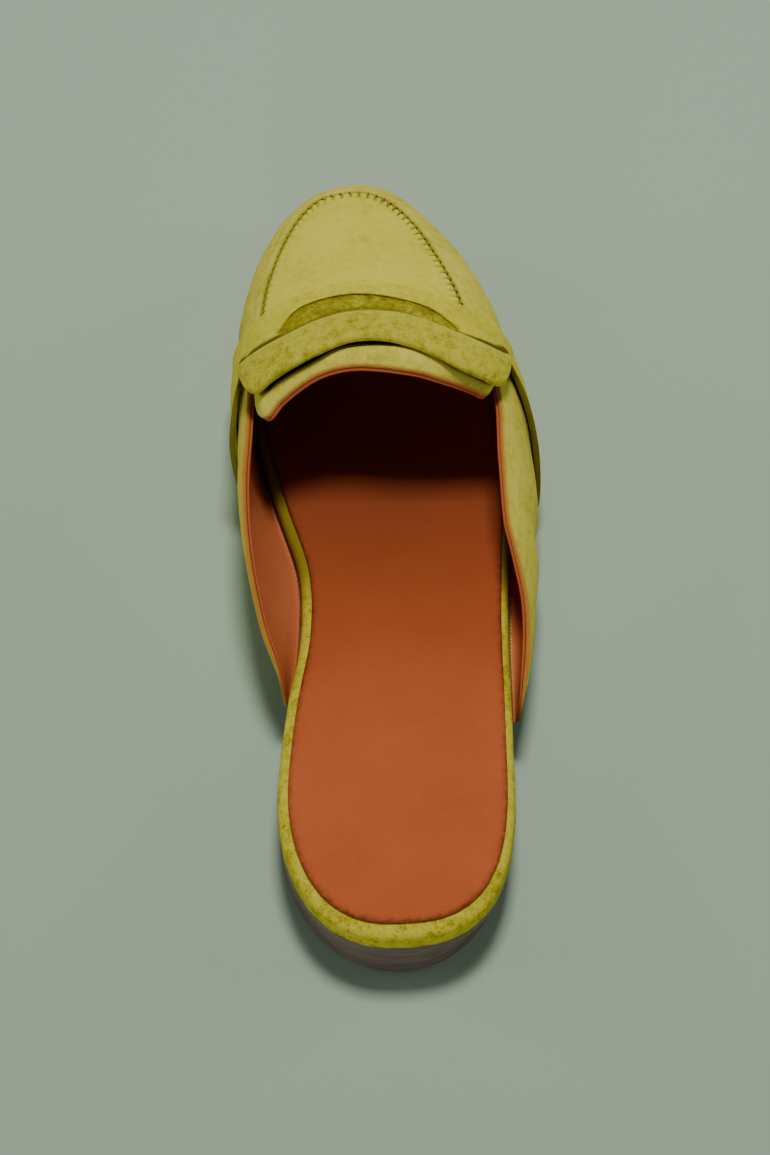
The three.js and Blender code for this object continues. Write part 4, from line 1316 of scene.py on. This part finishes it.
def build_heel_part(name, levels, material, slot, replaced):
    """Part of the heel: at each level its own outline, drawn in a little at edges and grooves."""
    rings = []
    for z, draw in levels:
        loop, inward = heel_loop(z)
        rings.append(np.column_stack([loop + inward * draw, np.full(len(loop), z)]))
    points, faces = capped(np.stack(rings), 1)
    piece = make_piece(name, points, faces, shared_material(material), slot, (replaced,))
    piece.data.set_sharp_from_angle(angle=np.radians(40))


def build_heel():
    """Heel block of three stacked lifts with fine grooves between them, and the top lift under it."""
    low = LIFT_THICK + GAP
    high = HEEL_SEAT - SOLE_THICK - GAP
    lifts = 3
    bevel, face = 0.3, 1.2
    groove, half_groove = 0.22, 0.25
    levels = [(low, face), (low, bevel), (low + bevel, 0.0)]
    for k in range(1, lifts):
        z = low + (high - low) * k / lifts
        levels += [(z - half_groove, 0.0), (z, groove), (z + half_groove, 0.0)]
    levels += [(high - bevel, 0.0), (high, bevel), (high, face)]
    build_heel_part("heel_block_stack", levels, "stained_stacked_leather", "heel_stack", "heel_block")
    levels = [(0, 1.5), (0, 0.5), (0.5, 0.0), (2.0, 0.0), (LIFT_THICK - 0.25, 0.0), (LIFT_THICK, 0.25),
              (LIFT_THICK, 1.2)]
    build_heel_part("heel_top_lift_rubber", levels, "moulded_top_lift_rubber", "top_lift", "heel_top_lift")


# ---- Stage ----
def build_stage():
    """Plain pale floor, an overhead softbox from a little ahead of the toe, a weak fill, and the camera."""
    stage = bpy.context.scene.mule_stage
    target = Vector(tuple(np.array(LOOK_AT) + SHIFT)) * MM
    material, _, shader = new_material("matte_paper_floor", {"Roughness": 0.95, "Specular IOR Level": 0.1})
    shader.inputs["Base Color"].default_value = (*stage.floor, 1.0)
    reach = 4.0  # metres from the middle to an edge of the floor
    mesh = bpy.data.meshes.new("floor")
    mesh.from_pydata([(-reach, -reach, 0), (reach, -reach, 0), (reach, reach, 0), (-reach, reach, 0)], [],
                     [(0, 1, 2, 3)])
    mesh.materials.append(material)
    floor = bpy.data.objects.new("floor", mesh)
    floor.location.z = -0.05 * MM
    bpy.context.scene.collection.objects.link(floor)
    # name, place and width in metres, power, colour
    lights = (
        ("overhead_key", (0.04, 0.245, 1.15), 0.22, stage.key, (1.0, 0.97, 0.92)),
        ("low_heel_fill", (-0.3, -1.5, 0.14), 0.26, stage.key * 0.62, (0.96, 0.98, 1.0)),
        ("low_inner_fill", (-1.4, 0.3, 0.5), 0.9, stage.key * 0.38, (0.96, 0.98, 1.0)),
        ("low_outer_fill", (1.4, 0.3, 0.5), 0.9, stage.key * 0.38, (0.96, 0.98, 1.0)),
    )
    for name, place, width, power, colour in lights:
        data = bpy.data.lights.new(name, "AREA")
        data.shape = "SQUARE"
        data.size = width
        data.energy = power
        data.color = colour
        light = bpy.data.objects.new(name, data)
        light.location = place
        light.rotation_euler = (target - Vector(place)).to_track_quat("-Z", "Y").to_euler()
        bpy.context.scene.collection.objects.link(light)
    world = bpy.data.worlds.new("studio")
    world.use_nodes = True
    background = world.node_tree.nodes["Background"]
    background.inputs["Color"].default_value = (0.86, 0.92, 0.84, 1)
    background.inputs["Strength"].default_value = 0.1
    bpy.context.scene.world = world
    data = bpy.data.cameras.new("camera")
    data.lens = stage.lens
    data.sensor_width = 36
    data.clip_start = 0.01
    camera = bpy.data.objects.new("camera", data)
    back = Vector((np.sin(stage.azimuth) * np.cos(stage.elevation),
                   -np.cos(stage.azimuth) * np.cos(stage.elevation), np.sin(stage.elevation)))
    camera.location = target + back * stage.distance
    camera.rotation_euler = (-back).to_track_quat("-Z", "Y").to_euler()
    bpy.context.scene.collection.objects.link(camera)
    bpy.context.scene.camera = camera


# ---- Operators ----
class MULE_OT_upper(bpy.types.Operator):
    """Build the vamp and quarters, suede over lining"""

    bl_idname = "mule.upper"
    bl_label = "Upper"

    def execute(self, context):
        build_upper()
        return {"FINISHED"}


class MULE_OT_apron(bpy.types.Operator):
    """Build the apron and its hand-sewn seam"""

    bl_idname = "mule.apron"
    bl_label = "Apron and stitches"

    def execute(self, context):
        build_apron()
        build_stitches()
        return {"FINISHED"}


class MULE_OT_saddle(bpy.types.Operator):
    """Build the slotted saddle and the rough suede behind its slot"""

    bl_idname = "mule.saddle"
    bl_label = "Saddle"

    def execute(self, context):
        build_saddle()
        build_slot_backing()
        return {"FINISHED"}


class MULE_OT_band(bpy.types.Operator):
    """Build the raised band across the instep"""

    bl_idname = "mule.band"
    bl_label = "Instep band"

    def execute(self, context):
        build_band()
        return {"FINISHED"}


class MULE_OT_tongue(bpy.types.Operator):
    """Build the tongue, suede over lining"""

    bl_idname = "mule.tongue"
    bl_label = "Tongue"

    def execute(self, context):
        build_tongue()
        return {"FINISHED"}


class MULE_OT_footbed(bpy.types.Operator):
    """Build the suede-wrapped footbed and the leather sock on it"""

    bl_idname = "mule.footbed"
    bl_label = "Footbed and sock"

    def execute(self, context):
        build_footbed()
        build_sock()
        return {"FINISHED"}


class MULE_OT_sole(bpy.types.Operator):
    """Build the outsole, the stacked heel and its top lift"""

    bl_idname = "mule.sole"
    bl_label = "Outsole and heel"

    def execute(self, context):
        build_outsole()
        build_heel()
        return {"FINISHED"}


class MULE_OT_stage(bpy.types.Operator):
    """Set up the floor, the lights and the camera"""

    bl_idname = "mule.stage"
    bl_label = "Stage"

    def execute(self, context):
        build_stage()
        return {"FINISHED"}


OPERATORS = (MULE_OT_upper, MULE_OT_apron, MULE_OT_saddle, MULE_OT_band, MULE_OT_tongue, MULE_OT_footbed,
             MULE_OT_sole, MULE_OT_stage)


class MULE_PT_pieces(bpy.types.Panel):
    """Lists the shoe's settings and its pieces"""

    bl_label = "Suede loafer mule"
    bl_idname = "MULE_PT_pieces"
    bl_space_type = "VIEW_3D"
    bl_region_type = "UI"
    bl_category = "Mule"

    def draw(self, context):
        for group in (context.scene.mule_sizes, context.scene.mule_colours, context.scene.mule_stage):
            box = self.layout.box()
            for name in type(group).__annotations__:
                box.prop(group, name)
        for operator in OPERATORS:
            self.layout.operator(operator.bl_idname)


GROUPS = {"mule_sizes": MuleSizes, "mule_colours": MuleColours, "mule_stage": MuleStage}


def register():
    """Register the classes and hang the settings on the scene."""
    for made in (*GROUPS.values(), *OPERATORS, MULE_PT_pieces):
        bpy.utils.register_class(made)
    for name, group in GROUPS.items():
        setattr(bpy.types.Scene, name, bpy.props.PointerProperty(type=group))


def unregister():
    """Take the settings off the scene and unregister the classes."""
    for name in GROUPS:
        delattr(bpy.types.Scene, name)
    for made in reversed((*GROUPS.values(), *OPERATORS, MULE_PT_pieces)):
        bpy.utils.unregister_class(made)


def main():
    """Build every piece and the stage."""
    register()
    for operator in OPERATORS:
        group, name = operator.bl_idname.split(".")
        getattr(getattr(bpy.ops, group), name)()


if __name__ == "__main__":
    main()
